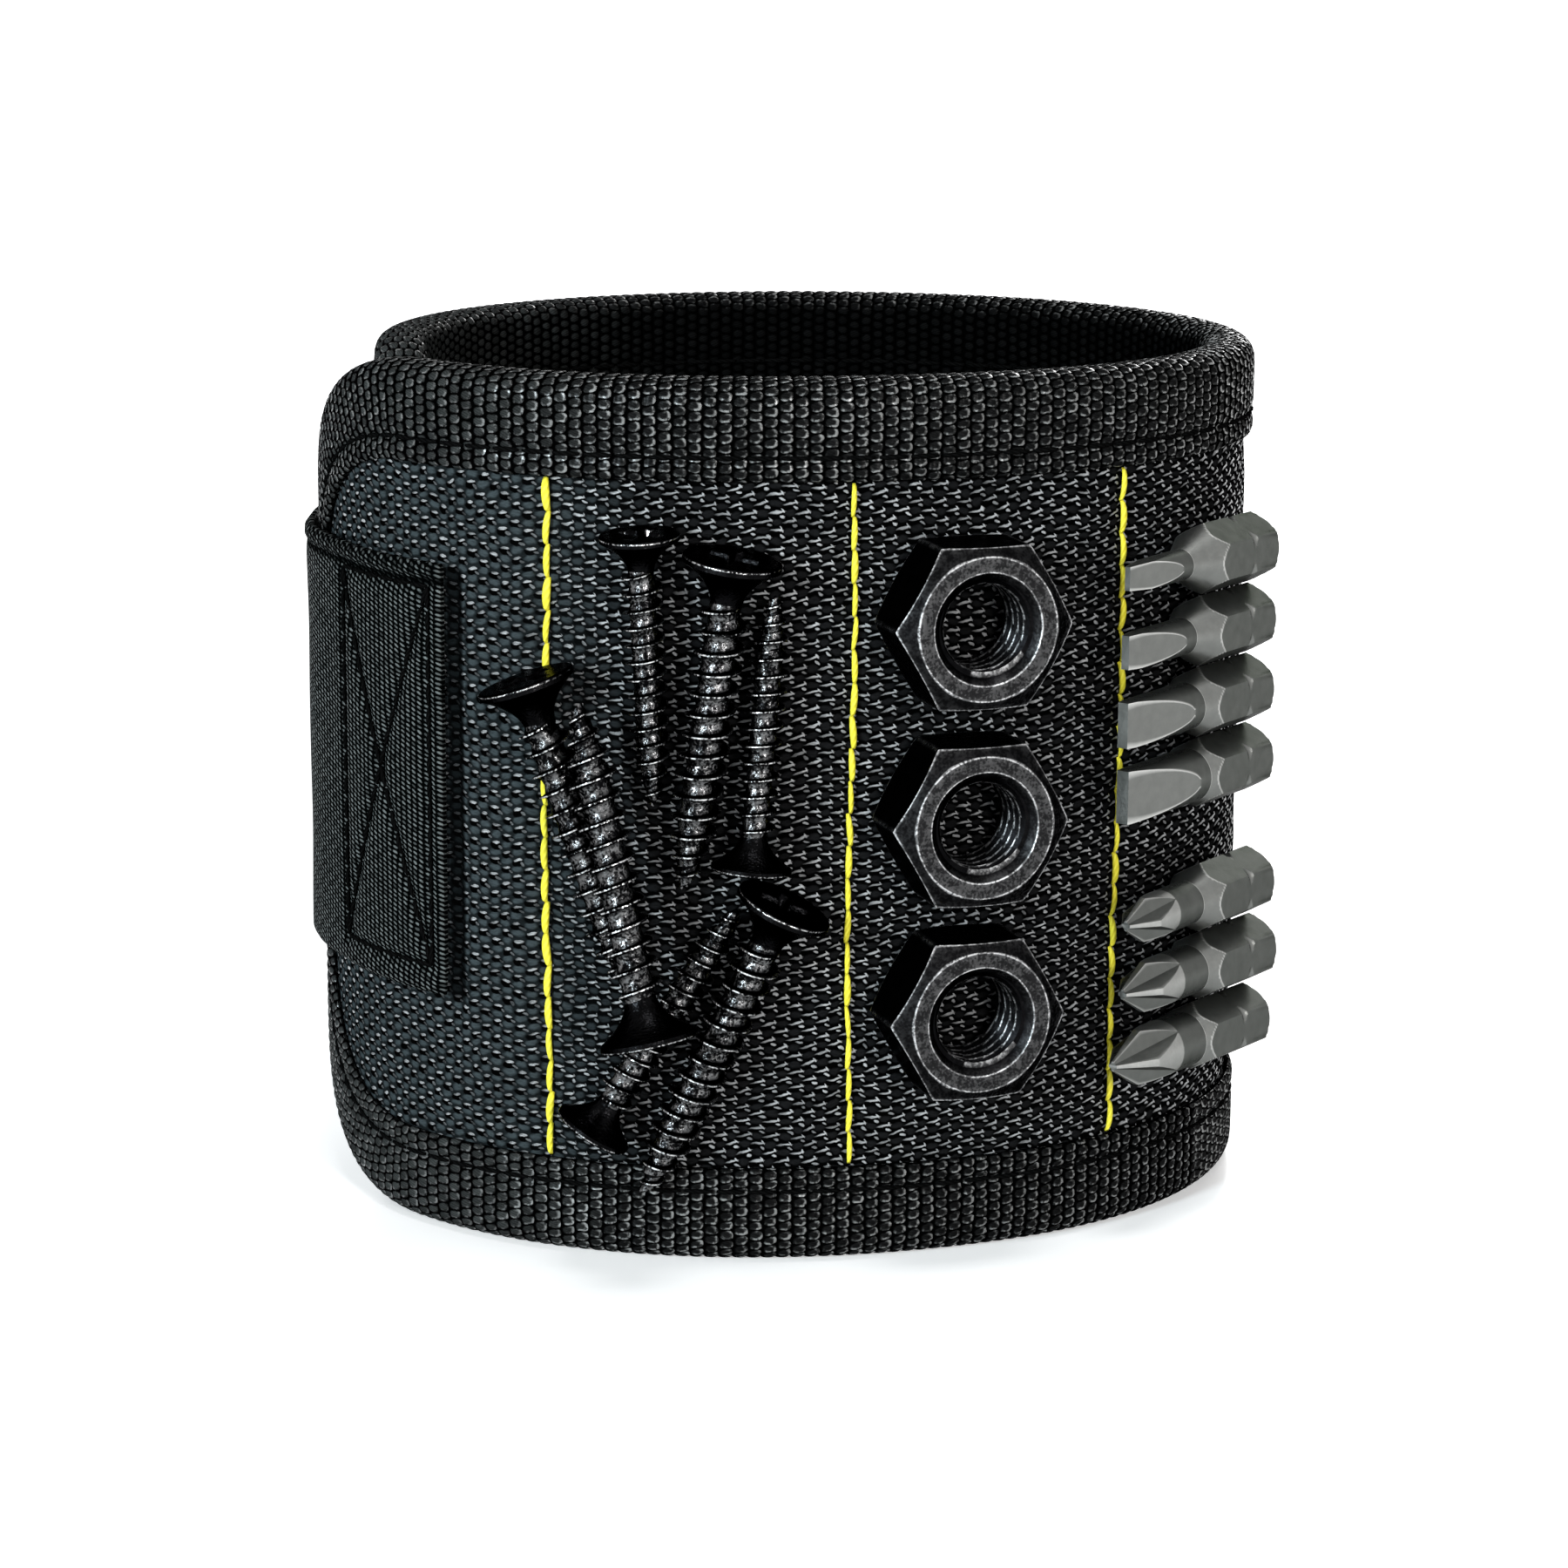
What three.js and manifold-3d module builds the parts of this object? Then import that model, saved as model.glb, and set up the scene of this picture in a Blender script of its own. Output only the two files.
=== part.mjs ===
// Magnetic wristband for small hardware, closed round on its hook-and-loop strap, with the
// screws, nuts and driver bits that it holds. Millimetres. +Z runs up along the wrist and
// -Y is the front. The band is one long strip laid in a spiral: its rounded flap end lies
// outside its tail at the left. A place on it is given as an arc length along the strip,
// a height and a distance out from the middle of its thickness.
import * as THREE from 'three';
import { mergeVertices } from 'three/addons/utils/BufferGeometryUtils.js';
import Module from 'manifold-3d';

const wasm = await Module();
wasm.setup();

// Ring that the middle of the strip follows, seen from above
const RING_HALF_WIDTH = 43.8;
const RING_HALF_DEPTH = 36.7;
const RING_TURN_DEGREES = 3.4;
const BAND_HEIGHT = 90;

// Places round the ring in degrees, 0 at the front and growing towards the right
const FLAP_END_ANGLE = -97;
const FLAP_PARTS_ANGLE = -70;
const FLAP_JOINS_ANGLE = 25;
const SEAM_ANGLES = [-35.9, 1.4, 40.2, 80];
const TAIL_END_ANGLE = 288;
const STATION_STEP_ANGLE = 7;

// Layers of the strip and the tape that binds its edges
const LAYER_GAP = 0.25;
const COVER_THICKNESS = 0.9;
const CORE_THICKNESS = 2.1;
const LINING_THICKNESS = 0.6;
const TAPE_THICKNESS = 0.6;
const TAPE_WIDTH = 10;
const COVER_CROWN = 0.5;
const OVERLAP_CLEARANCE = 0.3;
const FLAP_CORNER_RADIUS = 31;
const TAIL_CORNER_RADIUS = 14;
const FOLD_GAP = 0.4;

// Magnets sealed in the core, three to a column
const MAGNET_DIAMETER = 10;
const MAGNET_THICKNESS = 1.5;
const MAGNET_SPACING = 20;
const MAGNET_CLEARANCE = 0.2;
const FLAP_MAGNET_ANGLE = -43.4;

// Yellow thread down each seam
const THREAD_WIDTH = 1;
const THREAD_HEIGHT = 0.5;
const THREAD_SEAT = 0.1;
const STITCH_LENGTH = 3.3;
const STITCH_WAIST_SHARE = 0.7;
const THREAD_SHARES = [[-0.5, 0], [0.5, 0], [0.3, 1], [-0.3, 1]];

// Strap of webbing, with its hook patch, and the loop patch that it grips
const STRAP_WIDTH = 44.8;
const STRAP_CENTRE_HEIGHT = 47.8;
const STRAP_THICKNESS = 1.1;
const STRAP_EDGE_ANGLE = -49.5;
const STRAP_OVERHANG = 1.5;
const STRAP_DESCENT_ANGLE = 22;
const STRAP_END_ANGLE = 197;
const LOOP_START_ANGLE = 181;
const LOOP_END_ANGLE = 243;
const LOOP_THICKNESS = 1;
const HOOK_THICKNESS = 0.8;
const HOOK_MARGIN = 2;
const GRIP_GAP = 0.12;

// Hexagon nuts held on the third panel
const NUT_ACROSS_FLATS = 16;
const NUT_THICKNESS = 8.4;
const NUT_CHAMFER = 0.8;
const NUT_BORE_DIAMETER = 8.6;
const NUT_THREAD_DEPTH = 0.7;
const NUT_THREAD_PITCH = 1.5;
const NUT_MOUTH_DIAMETER = 10.8;
const NUT_SPACING = 19.8;
const NUT_CENTRE_HEIGHT = 46.7;
const NUT_ANGLE = 14.7;
const NUT_COUNT = 3;

// Driver bits held on the side panel
const BIT_LENGTH = 25;
const BIT_SHANK_LENGTH = 10.5;
const BIT_ACROSS_FLATS = 6.35;
const BIT_CHAMFER = 0.5;
const BIT_NECK_ANGLE = 25.5;
const BIT_SPACING = 7.4;
const SLOTTED_TOP_HEIGHT = 70.2;
const SLOTTED_WIDTHS = [2.4, 3.4, 4.6, 5.4];
const SLOTTED_SHAFT_DIAMETERS = [3.2, 3.8, 4.9, 5.6];
const SLOTTED_TIP_SHARE = 0.25;
const SLOTTED_RUN_OUT = 5;
const PHILLIPS_TOP_HEIGHT = 34.5;
const PHILLIPS_NECK_LENGTH = 2.2;
const PHILLIPS_SHAFT_DIAMETERS = [4.6, 5.2, 5.8];
const PHILLIPS_TIP_LENGTH = 5;
const PHILLIPS_TIP_SHARE = 0.3;
const BLADE_SHARES = [
  [0.5, 0], [0.5, 0.5], [0.25, 0.5], [0, 0.5], [-0.25, 0.5], [-0.5, 0.5],
  [-0.5, 0], [-0.5, -0.5], [-0.25, -0.5], [0, -0.5], [0.25, -0.5], [0.5, -0.5],
];

// Bugle-head screws in two sizes, held over the second panel
const LONG_SCREW = {
  length: 34,
  headDiameter: 9.8,
  headLength: 5,
  rimThickness: 0.7,
  coreDiameter: 3.1,
  threadDiameter: 5,
  pitch: 2.1,
  taperLength: 7,
};
const SHORT_SCREW = {
  length: 27.5,
  headDiameter: 8,
  headLength: 4,
  rimThickness: 0.6,
  coreDiameter: 2.5,
  threadDiameter: 4,
  pitch: 1.7,
  taperLength: 6,
};
const BUGLE_SHARES = [[0.2, 0.55], [0.5, 0.2]];
const RECESS_WIDTH_SHARE = 0.52;
const RECESS_SLOT_SHARE = 0.28;
const RECESS_DEPTH_SHARE = 0.55;
const HARDWARE_SEAT = 0.2;

// Each screw's head and tip: the place round the ring in degrees, the share of the band's
// height, and the lift off the cover as a share of the long screw's thread diameter
const SCREWS = [
  { name: 'screw_short_1', size: SHORT_SCREW, head: [-23.1, 0.839, 0], tip: [-21.9, 0.53, 0] },
  { name: 'screw_long_1', size: LONG_SCREW, head: [-12.9, 0.817, 0], tip: [-18.3, 0.447, 0] },
  { name: 'screw_short_2', size: SHORT_SCREW, head: [-10.8, 0.467, 0], tip: [-8.2, 0.764, 0] },
  { name: 'screw_long_2', size: LONG_SCREW, head: [-35.6, 0.674, 0], tip: [-23.6, 0.301, 0] },
  { name: 'screw_long_3', size: LONG_SCREW, head: [-20.9, 0.288, 1], tip: [-29.3, 0.654, 0.72] },
  { name: 'screw_short_3', size: SHORT_SCREW, head: [-28.6, 0.162, 0], tip: [-12.9, 0.411, 0] },
  { name: 'screw_long_4', size: LONG_SCREW, head: [-7, 0.433, 0], tip: [-23.1, 0.088, 0] },
];

// Face counts of round pieces
const MAGNET_SIDES = 16;
const HEXAGON_SIDES = 6;
const NUT_SIDES = 18;
const SCREW_HEAD_SIDES = 16;
const SCREW_THREAD_SIDES = 8;
const CORNER_STEPS = 8;
const BIT_RING_POINTS = 12;

const FABRIC_BLACK = 0x1c1e20;
const TAPE_BLACK = 0x191a1c;
const WEBBING_BLACK = 0x242628;
const PADDING_GREY = 0x4a4c4e;
const MAGNET_SILVER = 0xb8babc;
const THREAD_YELLOW = 0xe6d52e;
const SCREW_BLACK = 0x17181a;
const NUT_BLACK = 0x1b1c1e;
const BIT_GREY = 0x6c6d69;

// Distances out from the middle of the strip's thickness
const PANEL_FACE = (COVER_THICKNESS + CORE_THICKNESS + LINING_THICKNESS + 2 * LAYER_GAP) / 2;
const TAPE_FACE = PANEL_FACE + LAYER_GAP + TAPE_THICKNESS;
const CORE_FACE = PANEL_FACE - COVER_THICKNESS - LAYER_GAP;
const CORE_BACK = CORE_FACE - CORE_THICKNESS;
const FLAP_STEP = 2 * TAPE_FACE + OVERLAP_CLEARANCE;
const LAYER_INSET = TAPE_THICKNESS + LAYER_GAP;
const HARDWARE_FACE = PANEL_FACE + COVER_CROWN + HARDWARE_SEAT;
const STRAP_SEAT = TAPE_FACE + LAYER_GAP;
const LOOP_SEAT = PANEL_FACE + LAYER_GAP;
const HOOK_SEAT = LOOP_SEAT + LOOP_THICKNESS + GRIP_GAP;
const STRAP_TAIL_SEAT = HOOK_SEAT + HOOK_THICKNESS + GRIP_GAP;

const radians = THREE.MathUtils.degToRad;
const smoothstep = THREE.MathUtils.smoothstep;
const lerp = THREE.MathUtils.lerp;

// Outward direction of the plain ring at an angle, and the strip's middle line, which the
// flap carries outwards by one full thickness
function ringNormal(angle) {
  const across = RING_HALF_DEPTH * Math.sin(radians(angle));
  const along = -RING_HALF_WIDTH * Math.cos(radians(angle));
  return new THREE.Vector2(across, along).normalize();
}

function middleLine(angle) {
  const place = new THREE.Vector2(
    RING_HALF_WIDTH * Math.sin(radians(angle)),
    -RING_HALF_DEPTH * Math.cos(radians(angle)),
  );
  const step = FLAP_STEP * (1 - smoothstep(angle, FLAP_PARTS_ANGLE, FLAP_JOINS_ANGLE));
  place.addScaledVector(ringNormal(angle), step);
  return place.rotateAround(new THREE.Vector2(), radians(RING_TURN_DEGREES));
}

// Arc lengths along the middle line at close angles, for turning one into the other
const FIRST_ANGLE = FLAP_END_ANGLE - STATION_STEP_ANGLE;
const TABLE_STEPS = 830;
const NORMAL_REACH = FOLD_GAP / 2;
const ANGLE_TABLE = [];
const ARC_TABLE = [];
for (let i = 0; i <= TABLE_STEPS; i += 1) {
  const angle = lerp(FIRST_ANGLE, TAIL_END_ANGLE, i / TABLE_STEPS);
  const before = i > 0 ? middleLine(ANGLE_TABLE[i - 1]) : middleLine(angle);
  ARC_TABLE.push((ARC_TABLE[i - 1] ?? 0) + middleLine(angle).distanceTo(before));
  ANGLE_TABLE.push(angle);
}

function interpolate(value, from, to) {
  let high = from.findIndex((entry) => entry >= value);
  if (high < 0) high = from.length - 1;
  if (high === 0) high = 1;
  const share = (value - from[high - 1]) / (from[high] - from[high - 1]);
  return lerp(to[high - 1], to[high], share);
}

const arcAt = (angle) => interpolate(angle, ANGLE_TABLE, ARC_TABLE);
const angleAt = (arc) => interpolate(arc, ARC_TABLE, ANGLE_TABLE);

// Level outward direction of the strip at an arc length, square to its middle line
function stripNormal(arc) {
  const ahead = middleLine(angleAt(arc + NORMAL_REACH));
  const direction = ahead.sub(middleLine(angleAt(arc - NORMAL_REACH))).normalize();
  return new THREE.Vector3(direction.y, -direction.x, 0);
}

function stripPoint(arc, height, out) {
  const middle = middleLine(angleAt(arc));
  const place = new THREE.Vector3(middle.x, middle.y, height);
  return place.addScaledVector(stripNormal(arc), out);
}

function signedVolume(geometry) {
  const place = geometry.getAttribute('position');
  const index = geometry.getIndex();
  const [a, b, c] = [new THREE.Vector3(), new THREE.Vector3(), new THREE.Vector3()];
  let volume = 0;
  for (let i = 0; i < index.count; i += 3) {
    a.fromBufferAttribute(place, index.getX(i));
    b.fromBufferAttribute(place, index.getX(i + 1));
    c.fromBufferAttribute(place, index.getX(i + 2));
    volume += a.dot(b.cross(c));
  }
  return volume;
}

// Indexed geometry whose faces are turned outwards
function closedGeometry(points, index) {
  const geometry = new THREE.BufferGeometry();
  const numbers = points.flatMap((point) => point.toArray());
  geometry.setAttribute('position', new THREE.Float32BufferAttribute(numbers, 3));
  geometry.setIndex(index);
  if (signedVolume(geometry) < 0) geometry.setIndex(index.slice().reverse());
  geometry.computeVertexNormals();
  return geometry;
}

// Solid through a row of sections with equal numbers of points, each end closed by the
// triangles of its flat outline
function loft(sections, outlines) {
  const count = sections[0].length;
  const index = [];
  for (let row = 0; row < sections.length - 1; row += 1) {
    for (let k = 0; k < count; k += 1) {
      const a = row * count + k;
      const b = row * count + ((k + 1) % count);
      index.push(a, b, b + count);
      index.push(a, b + count, a + count);
    }
  }
  [0, (sections.length - 1) * count].forEach((start, end) => {
    const outline = outlines[end];
    const turn = Math.sign(THREE.ShapeUtils.area(outline)) * (end === 0 ? -1 : 1);
    for (const face of THREE.ShapeUtils.triangulateShape(outline, [])) {
      const area = THREE.ShapeUtils.area(face.map((corner) => outline[corner]));
      const [a, b, c] = face.map((corner) => corner + start);
      index.push(...(Math.sign(area) === turn ? [a, b, c] : [a, c, b]));
    }
  });
  return closedGeometry(sections.flat(), index);
}

function toSolid(geometry) {
  const plain = geometry.clone();
  plain.deleteAttribute('normal');
  plain.deleteAttribute('uv');
  const merged = mergeVertices(plain);
  const corners = merged.getIndex().array;
  const kept = [];
  for (let i = 0; i < corners.length; i += 3) {
    const [a, b, c] = corners.slice(i, i + 3);
    if (a !== b && b !== c && c !== a) kept.push(a, b, c);
  }
  return new wasm.Manifold(new wasm.Mesh({
    numProp: 3,
    vertProperties: new Float32Array(merged.getAttribute('position').array),
    triVerts: new Uint32Array(kept),
  }));
}

function toGeometry(solid) {
  const mesh = solid.getMesh();
  const geometry = new THREE.BufferGeometry();
  geometry.setAttribute('position', new THREE.Float32BufferAttribute(mesh.vertProperties, 3));
  geometry.setIndex(Array.from(mesh.triVerts));
  geometry.computeVertexNormals();
  return geometry;
}

const model = new THREE.Group();

function addPiece(name, geometry, color, roughness, metalness) {
  const material = new THREE.MeshStandardMaterial({ color, roughness, metalness });
  const piece = new THREE.Mesh(geometry, material);
  piece.name = name;
  model.add(piece);
  return piece;
}

const addFabric = (name, geometry, color) => addPiece(name, geometry, color, 0.85, 0);

// The three lengths of strip that fold on one another at the third and fourth seams
const ARC_START = arcAt(FLAP_END_ANGLE);
const ARC_END = arcAt(TAIL_END_ANGLE);
const SEAM_ARCS = SEAM_ANGLES.map(arcAt);
const [SEAM_1, SEAM_2, SEAM_3, SEAM_4] = SEAM_ARCS;
const FRONT = { from: ARC_START, to: SEAM_3 - FOLD_GAP / 2, corner: FLAP_CORNER_RADIUS };
const SIDE = { from: SEAM_3 + FOLD_GAP / 2, to: SEAM_4 - FOLD_GAP / 2, corner: 0 };
const BACK = { from: ARC_END, to: SEAM_4 + FOLD_GAP / 2, corner: TAIL_CORNER_RADIUS };

// Arc lengths from a section's rounded end to its other end, closer in the round corners
function sectionArcs(section, inset) {
  const direction = Math.sign(section.to - section.from);
  const radius = section.corner;
  const arcs = [];
  const steps = radius > 0 ? CORNER_STEPS : 0;
  for (let i = 0; i < steps; i += 1) {
    const turn = (i / steps) * (Math.PI / 2);
    arcs.push(section.from + direction * (radius - (radius - inset) * Math.cos(turn)));
  }
  const straight = section.from + direction * radius;
  const inside = SEAM_ARCS.filter((arc) => (arc - straight) * (arc - section.to) < 0);
  const stops = [straight, ...inside.sort((a, b) => (a - b) * direction), section.to];
  for (let stop = 1; stop < stops.length; stop += 1) {
    const spread = Math.abs(angleAt(stops[stop]) - angleAt(stops[stop - 1]));
    const count = Math.ceil(spread / STATION_STEP_ANGLE);
    for (let i = 0; i < count; i += 1) {
      arcs.push(lerp(stops[stop - 1], stops[stop], i / count));
    }
  }
  return [...arcs, section.to];
}

// Height of a section's lower outline at an arc length, kept one inset in from its edge
function lowerEdge(section, arc, inset) {
  const along = Math.abs(arc - section.from);
  if (along >= section.corner) return inset;
  const radius = section.corner - inset;
  const across = section.corner - along;
  return section.corner - Math.sqrt(Math.max(0, radius * radius - across * across));
}

// Crown of the cover over a magnet column, dying away at the seams and at the tape
const CROWNED = [
  [arcAt(STRAP_EDGE_ANGLE), SEAM_1],
  [SEAM_1, SEAM_2],
  [SEAM_2, SEAM_3],
  [SEAM_3, SEAM_4],
];

function crownAt(arc, height) {
  const panel = CROWNED.find(([from, to]) => arc >= from && arc <= to);
  if (!panel) return 0;
  const share = (arc - panel[0]) / (panel[1] - panel[0]);
  const fromTape = Math.min(height, BAND_HEIGHT - height) - TAPE_WIDTH;
  const rise = smoothstep(fromTape, LAYER_INSET, TAPE_WIDTH);
  return COVER_CROWN * Math.sin(Math.PI * share) * rise;
}

const COVER_HEIGHT_SHARES = [0, 0.13, 0.2, 0.35, 0.5, 0.65, 0.8, 0.87, 1];

// One layer of a section, between two distances out; only the cover is crowned
function layerGeometry(section, inner, outer, crowned) {
  const arcs = sectionArcs(section, LAYER_INSET);
  const shares = crowned ? COVER_HEIGHT_SHARES : [0, 1];
  const sections = arcs.map((arc) => {
    const low = lowerEdge(section, arc, LAYER_INSET);
    const high = BAND_HEIGHT - low;
    const face = shares.map((share) => {
      const height = lerp(low, high, share);
      const crown = crowned ? crownAt(arc, height) : 0;
      return stripPoint(arc, height, outer + crown);
    });
    return [...face, stripPoint(arc, high, inner), stripPoint(arc, low, inner)];
  });
  const outline = [
    ...shares.map((share) => new THREE.Vector2(outer, share * BAND_HEIGHT)),
    new THREE.Vector2(inner, BAND_HEIGHT),
    new THREE.Vector2(inner, 0),
  ];
  return loft(sections, [outline, outline]);
}

// Channel section of the tape: distance in from the edge, distance out from the middle
const TAPE_OUTLINE = [
  [0, TAPE_FACE],
  [TAPE_WIDTH / 2, TAPE_FACE],
  [TAPE_WIDTH, TAPE_FACE],
  [TAPE_WIDTH, TAPE_FACE - TAPE_THICKNESS],
  [TAPE_WIDTH / 2, TAPE_FACE - TAPE_THICKNESS],
  [TAPE_THICKNESS, TAPE_FACE - TAPE_THICKNESS],
  [TAPE_THICKNESS, TAPE_THICKNESS - TAPE_FACE],
  [TAPE_WIDTH / 2, TAPE_THICKNESS - TAPE_FACE],
  [TAPE_WIDTH, TAPE_THICKNESS - TAPE_FACE],
  [TAPE_WIDTH, -TAPE_FACE],
  [TAPE_WIDTH / 2, -TAPE_FACE],
  [0, -TAPE_FACE],
].map(([inward, out]) => new THREE.Vector2(inward, out));

// Tape folded over an edge that runs through places with an inward direction each
function tapeGeometry(places) {
  const sections = places.map(({ arc, height, inward }) => TAPE_OUTLINE.map((point) => {
    const along = arc + inward.x * point.x;
    return stripPoint(along, height + inward.y * point.x, point.y);
  }));
  return loft(sections, [TAPE_OUTLINE, TAPE_OUTLINE]);
}

// Places along a section's lower edge, from its fold or square end to its other end
function lowerPlaces(section) {
  const up = new THREE.Vector2(0, 1);
  const straight = sectionArcs(section, 0).slice(section.corner > 0 ? CORNER_STEPS : 0);
  return straight.map((arc) => ({ arc, height: 0, inward: up })).reverse();
}

// Places round one lower corner, from the straight edge up to the end
function cornerPlaces(section) {
  const direction = Math.sign(section.to - section.from);
  const radius = section.corner;
  const centre = section.from + direction * radius;
  const places = [];
  for (let i = 1; i <= CORNER_STEPS; i += 1) {
    const turn = (i / CORNER_STEPS) * (Math.PI / 2);
    const inward = new THREE.Vector2(direction * Math.sin(turn), Math.cos(turn));
    const arc = centre - inward.x * radius;
    places.push({ arc, height: radius - inward.y * radius, inward });
  }
  return places;
}

function mirrored(places) {
  return places.map(({ arc, height, inward }) => ({
    arc,
    height: BAND_HEIGHT - height,
    inward: new THREE.Vector2(inward.x, -inward.y),
  })).reverse();
}

function roundBinding(section) {
  const lower = [...lowerPlaces(section), ...cornerPlaces(section)];
  return tapeGeometry([...lower, ...mirrored(lower)]);
}

// Magnets in columns behind the pockets, and the core that holds them
const MAGNET_COLUMNS = [
  { section: 'front', arc: arcAt(FLAP_MAGNET_ANGLE) },
  { section: 'front', arc: (SEAM_1 + SEAM_2) / 2 },
  { section: 'front', arc: (SEAM_2 + SEAM_3) / 2 },
  { section: 'side', arc: (SEAM_3 + SEAM_4) / 2 },
];
const MAGNET_HEIGHTS = [-1, 0, 1].map((row) => BAND_HEIGHT / 2 + row * MAGNET_SPACING);
const CORE_MIDDLE = (CORE_FACE + CORE_BACK) / 2;

// Upright disc or plug whose axis points straight out of the strip
function discAcross(arc, height, diameter, thickness) {
  const geometry = new THREE.CylinderGeometry(
    diameter / 2, diameter / 2, thickness, MAGNET_SIDES,
  );
  const upright = new THREE.Vector3(0, 1, 0);
  const turn = new THREE.Quaternion().setFromUnitVectors(upright, stripNormal(arc));
  geometry.applyQuaternion(turn);
  const centre = stripPoint(arc, height, CORE_MIDDLE);
  return geometry.translate(centre.x, centre.y, centre.z);
}

function coreGeometry(section, name) {
  let core = toSolid(layerGeometry(section, CORE_BACK, CORE_FACE, false));
  const width = MAGNET_DIAMETER + 2 * MAGNET_CLEARANCE;
  for (const column of MAGNET_COLUMNS.filter((entry) => entry.section === name)) {
    for (const height of MAGNET_HEIGHTS) {
      core = core.subtract(toSolid(discAcross(column.arc, height, width, 2 * CORE_THICKNESS)));
    }
  }
  return toGeometry(core);
}

for (const [name, section] of Object.entries({ front: FRONT, side: SIDE, back: BACK })) {
  const cover = layerGeometry(section, PANEL_FACE - COVER_THICKNESS, PANEL_FACE, true);
  addFabric(`${name}_cover`, cover, FABRIC_BLACK);
  addFabric(`${name}_core`, coreGeometry(section, name), PADDING_GREY);
  const lining = layerGeometry(section, -PANEL_FACE, LINING_THICKNESS - PANEL_FACE, false);
  addFabric(`${name}_lining`, lining, FABRIC_BLACK);
}

MAGNET_COLUMNS.forEach((column, number) => {
  MAGNET_HEIGHTS.forEach((height, row) => {
    const disc = discAcross(column.arc, height, MAGNET_DIAMETER, MAGNET_THICKNESS);
    addPiece(`magnet_${number + 1}_${row + 1}`, disc, MAGNET_SILVER, 0.35, 1);
  });
});

addFabric('front_binding', roundBinding(FRONT), TAPE_BLACK);
addFabric('side_binding_bottom', tapeGeometry(lowerPlaces(SIDE)), TAPE_BLACK);
addFabric('side_binding_top', tapeGeometry(mirrored(lowerPlaces(SIDE))), TAPE_BLACK);
addFabric('back_binding', roundBinding(BACK), TAPE_BLACK);

// Seam threads: a slim ridge, drawn in between stitches. At a fold the thread keeps to its
// own side of the gap.
function threadGeometry(arc) {
  const from = TAPE_WIDTH + THREAD_WIDTH / 2;
  const count = Math.round((BAND_HEIGHT - 2 * from) / STITCH_LENGTH);
  const seat = PANEL_FACE + THREAD_SEAT;
  const sections = [];
  for (let i = 0; i <= count; i += 1) {
    const height = lerp(from, BAND_HEIGHT - from, i / count);
    const share = i % 2 === 0 ? STITCH_WAIST_SHARE : 1;
    sections.push(THREAD_SHARES.map(([across, up]) => stripPoint(
      arc + across * share * THREAD_WIDTH,
      height,
      seat + up * share * THREAD_HEIGHT,
    )));
  }
  const flat = THREAD_SHARES.map(([across, up]) => new THREE.Vector2(across, up));
  return loft(sections, [flat, flat]);
}

const THREAD_ARCS = [
  SEAM_1,
  SEAM_2,
  SEAM_3 - FOLD_GAP / 2 - THREAD_WIDTH,
  SEAM_4 + FOLD_GAP / 2 + THREAD_WIDTH,
];
THREAD_ARCS.forEach((arc, number) => {
  addFabric(`seam_thread_${number + 1}`, threadGeometry(arc), THREAD_YELLOW);
});

// Flat piece that follows the ring between two arc lengths, its inner face at a distance
// out that a function of the arc length gives
function patchGeometry(from, to, width, thickness, seatAt) {
  const low = STRAP_CENTRE_HEIGHT - width / 2;
  const high = STRAP_CENTRE_HEIGHT + width / 2;
  const count = Math.ceil(Math.abs(angleAt(to) - angleAt(from)) / (STATION_STEP_ANGLE / 2));
  const sections = [];
  for (let i = 0; i <= count; i += 1) {
    const arc = lerp(from, to, i / count);
    const seat = seatAt(arc);
    sections.push([
      stripPoint(arc, low, seat),
      stripPoint(arc, low, seat + thickness),
      stripPoint(arc, high, seat + thickness),
      stripPoint(arc, high, seat),
    ]);
  }
  const outline = [[0, 0], [1, 0], [1, 1], [0, 1]].map(([x, y]) => new THREE.Vector2(x, y));
  return loft(sections, [outline, outline]);
}

// The strap is sewn on the flap and climbs onto the tape at the flap's end
const ANCHOR_END = ARC_START - STRAP_OVERHANG;
const ANCHOR_CLIMB = ARC_START + 2 * TAPE_WIDTH;

function anchorSeat(arc) {
  const climb = 1 - smoothstep(arc, ARC_START + TAPE_WIDTH, ANCHOR_CLIMB);
  return lerp(PANEL_FACE + LAYER_GAP, STRAP_SEAT, climb);
}

addFabric('strap_anchor', patchGeometry(
  ANCHOR_END + FOLD_GAP / 2, arcAt(STRAP_EDGE_ANGLE), STRAP_WIDTH, STRAP_THICKNESS, anchorSeat,
), WEBBING_BLACK);

// Past the flap the strap comes down to the back, where its hook patch grips the loop patch
const FULL_TURN = 360;
const TAIL_START_ANGLE = angleAt(ANCHOR_END) + FULL_TURN;
const TAIL_START = arcAt(TAIL_START_ANGLE) - FOLD_GAP / 2;
const TAIL_LANDS = arcAt(TAIL_START_ANGLE - STRAP_DESCENT_ANGLE);
const HOOK_ARCS = [arcAt(STRAP_END_ANGLE) + HOOK_MARGIN, TAIL_LANDS - HOOK_MARGIN];

function tailSeat(arc) {
  return lerp(STRAP_TAIL_SEAT, STRAP_SEAT + FLAP_STEP, smoothstep(arc, TAIL_LANDS, TAIL_START));
}

addFabric('strap_tail', patchGeometry(
  TAIL_START, arcAt(STRAP_END_ANGLE), STRAP_WIDTH, STRAP_THICKNESS, tailSeat,
), WEBBING_BLACK);
addFabric('hook_patch', patchGeometry(
  HOOK_ARCS[0], HOOK_ARCS[1], STRAP_WIDTH - 2 * HOOK_MARGIN, HOOK_THICKNESS, () => HOOK_SEAT,
), WEBBING_BLACK);
addFabric('loop_patch', patchGeometry(
  arcAt(LOOP_START_ANGLE), arcAt(LOOP_END_ANGLE), STRAP_WIDTH, LOOP_THICKNESS, () => LOOP_SEAT,
), WEBBING_BLACK);

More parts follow.
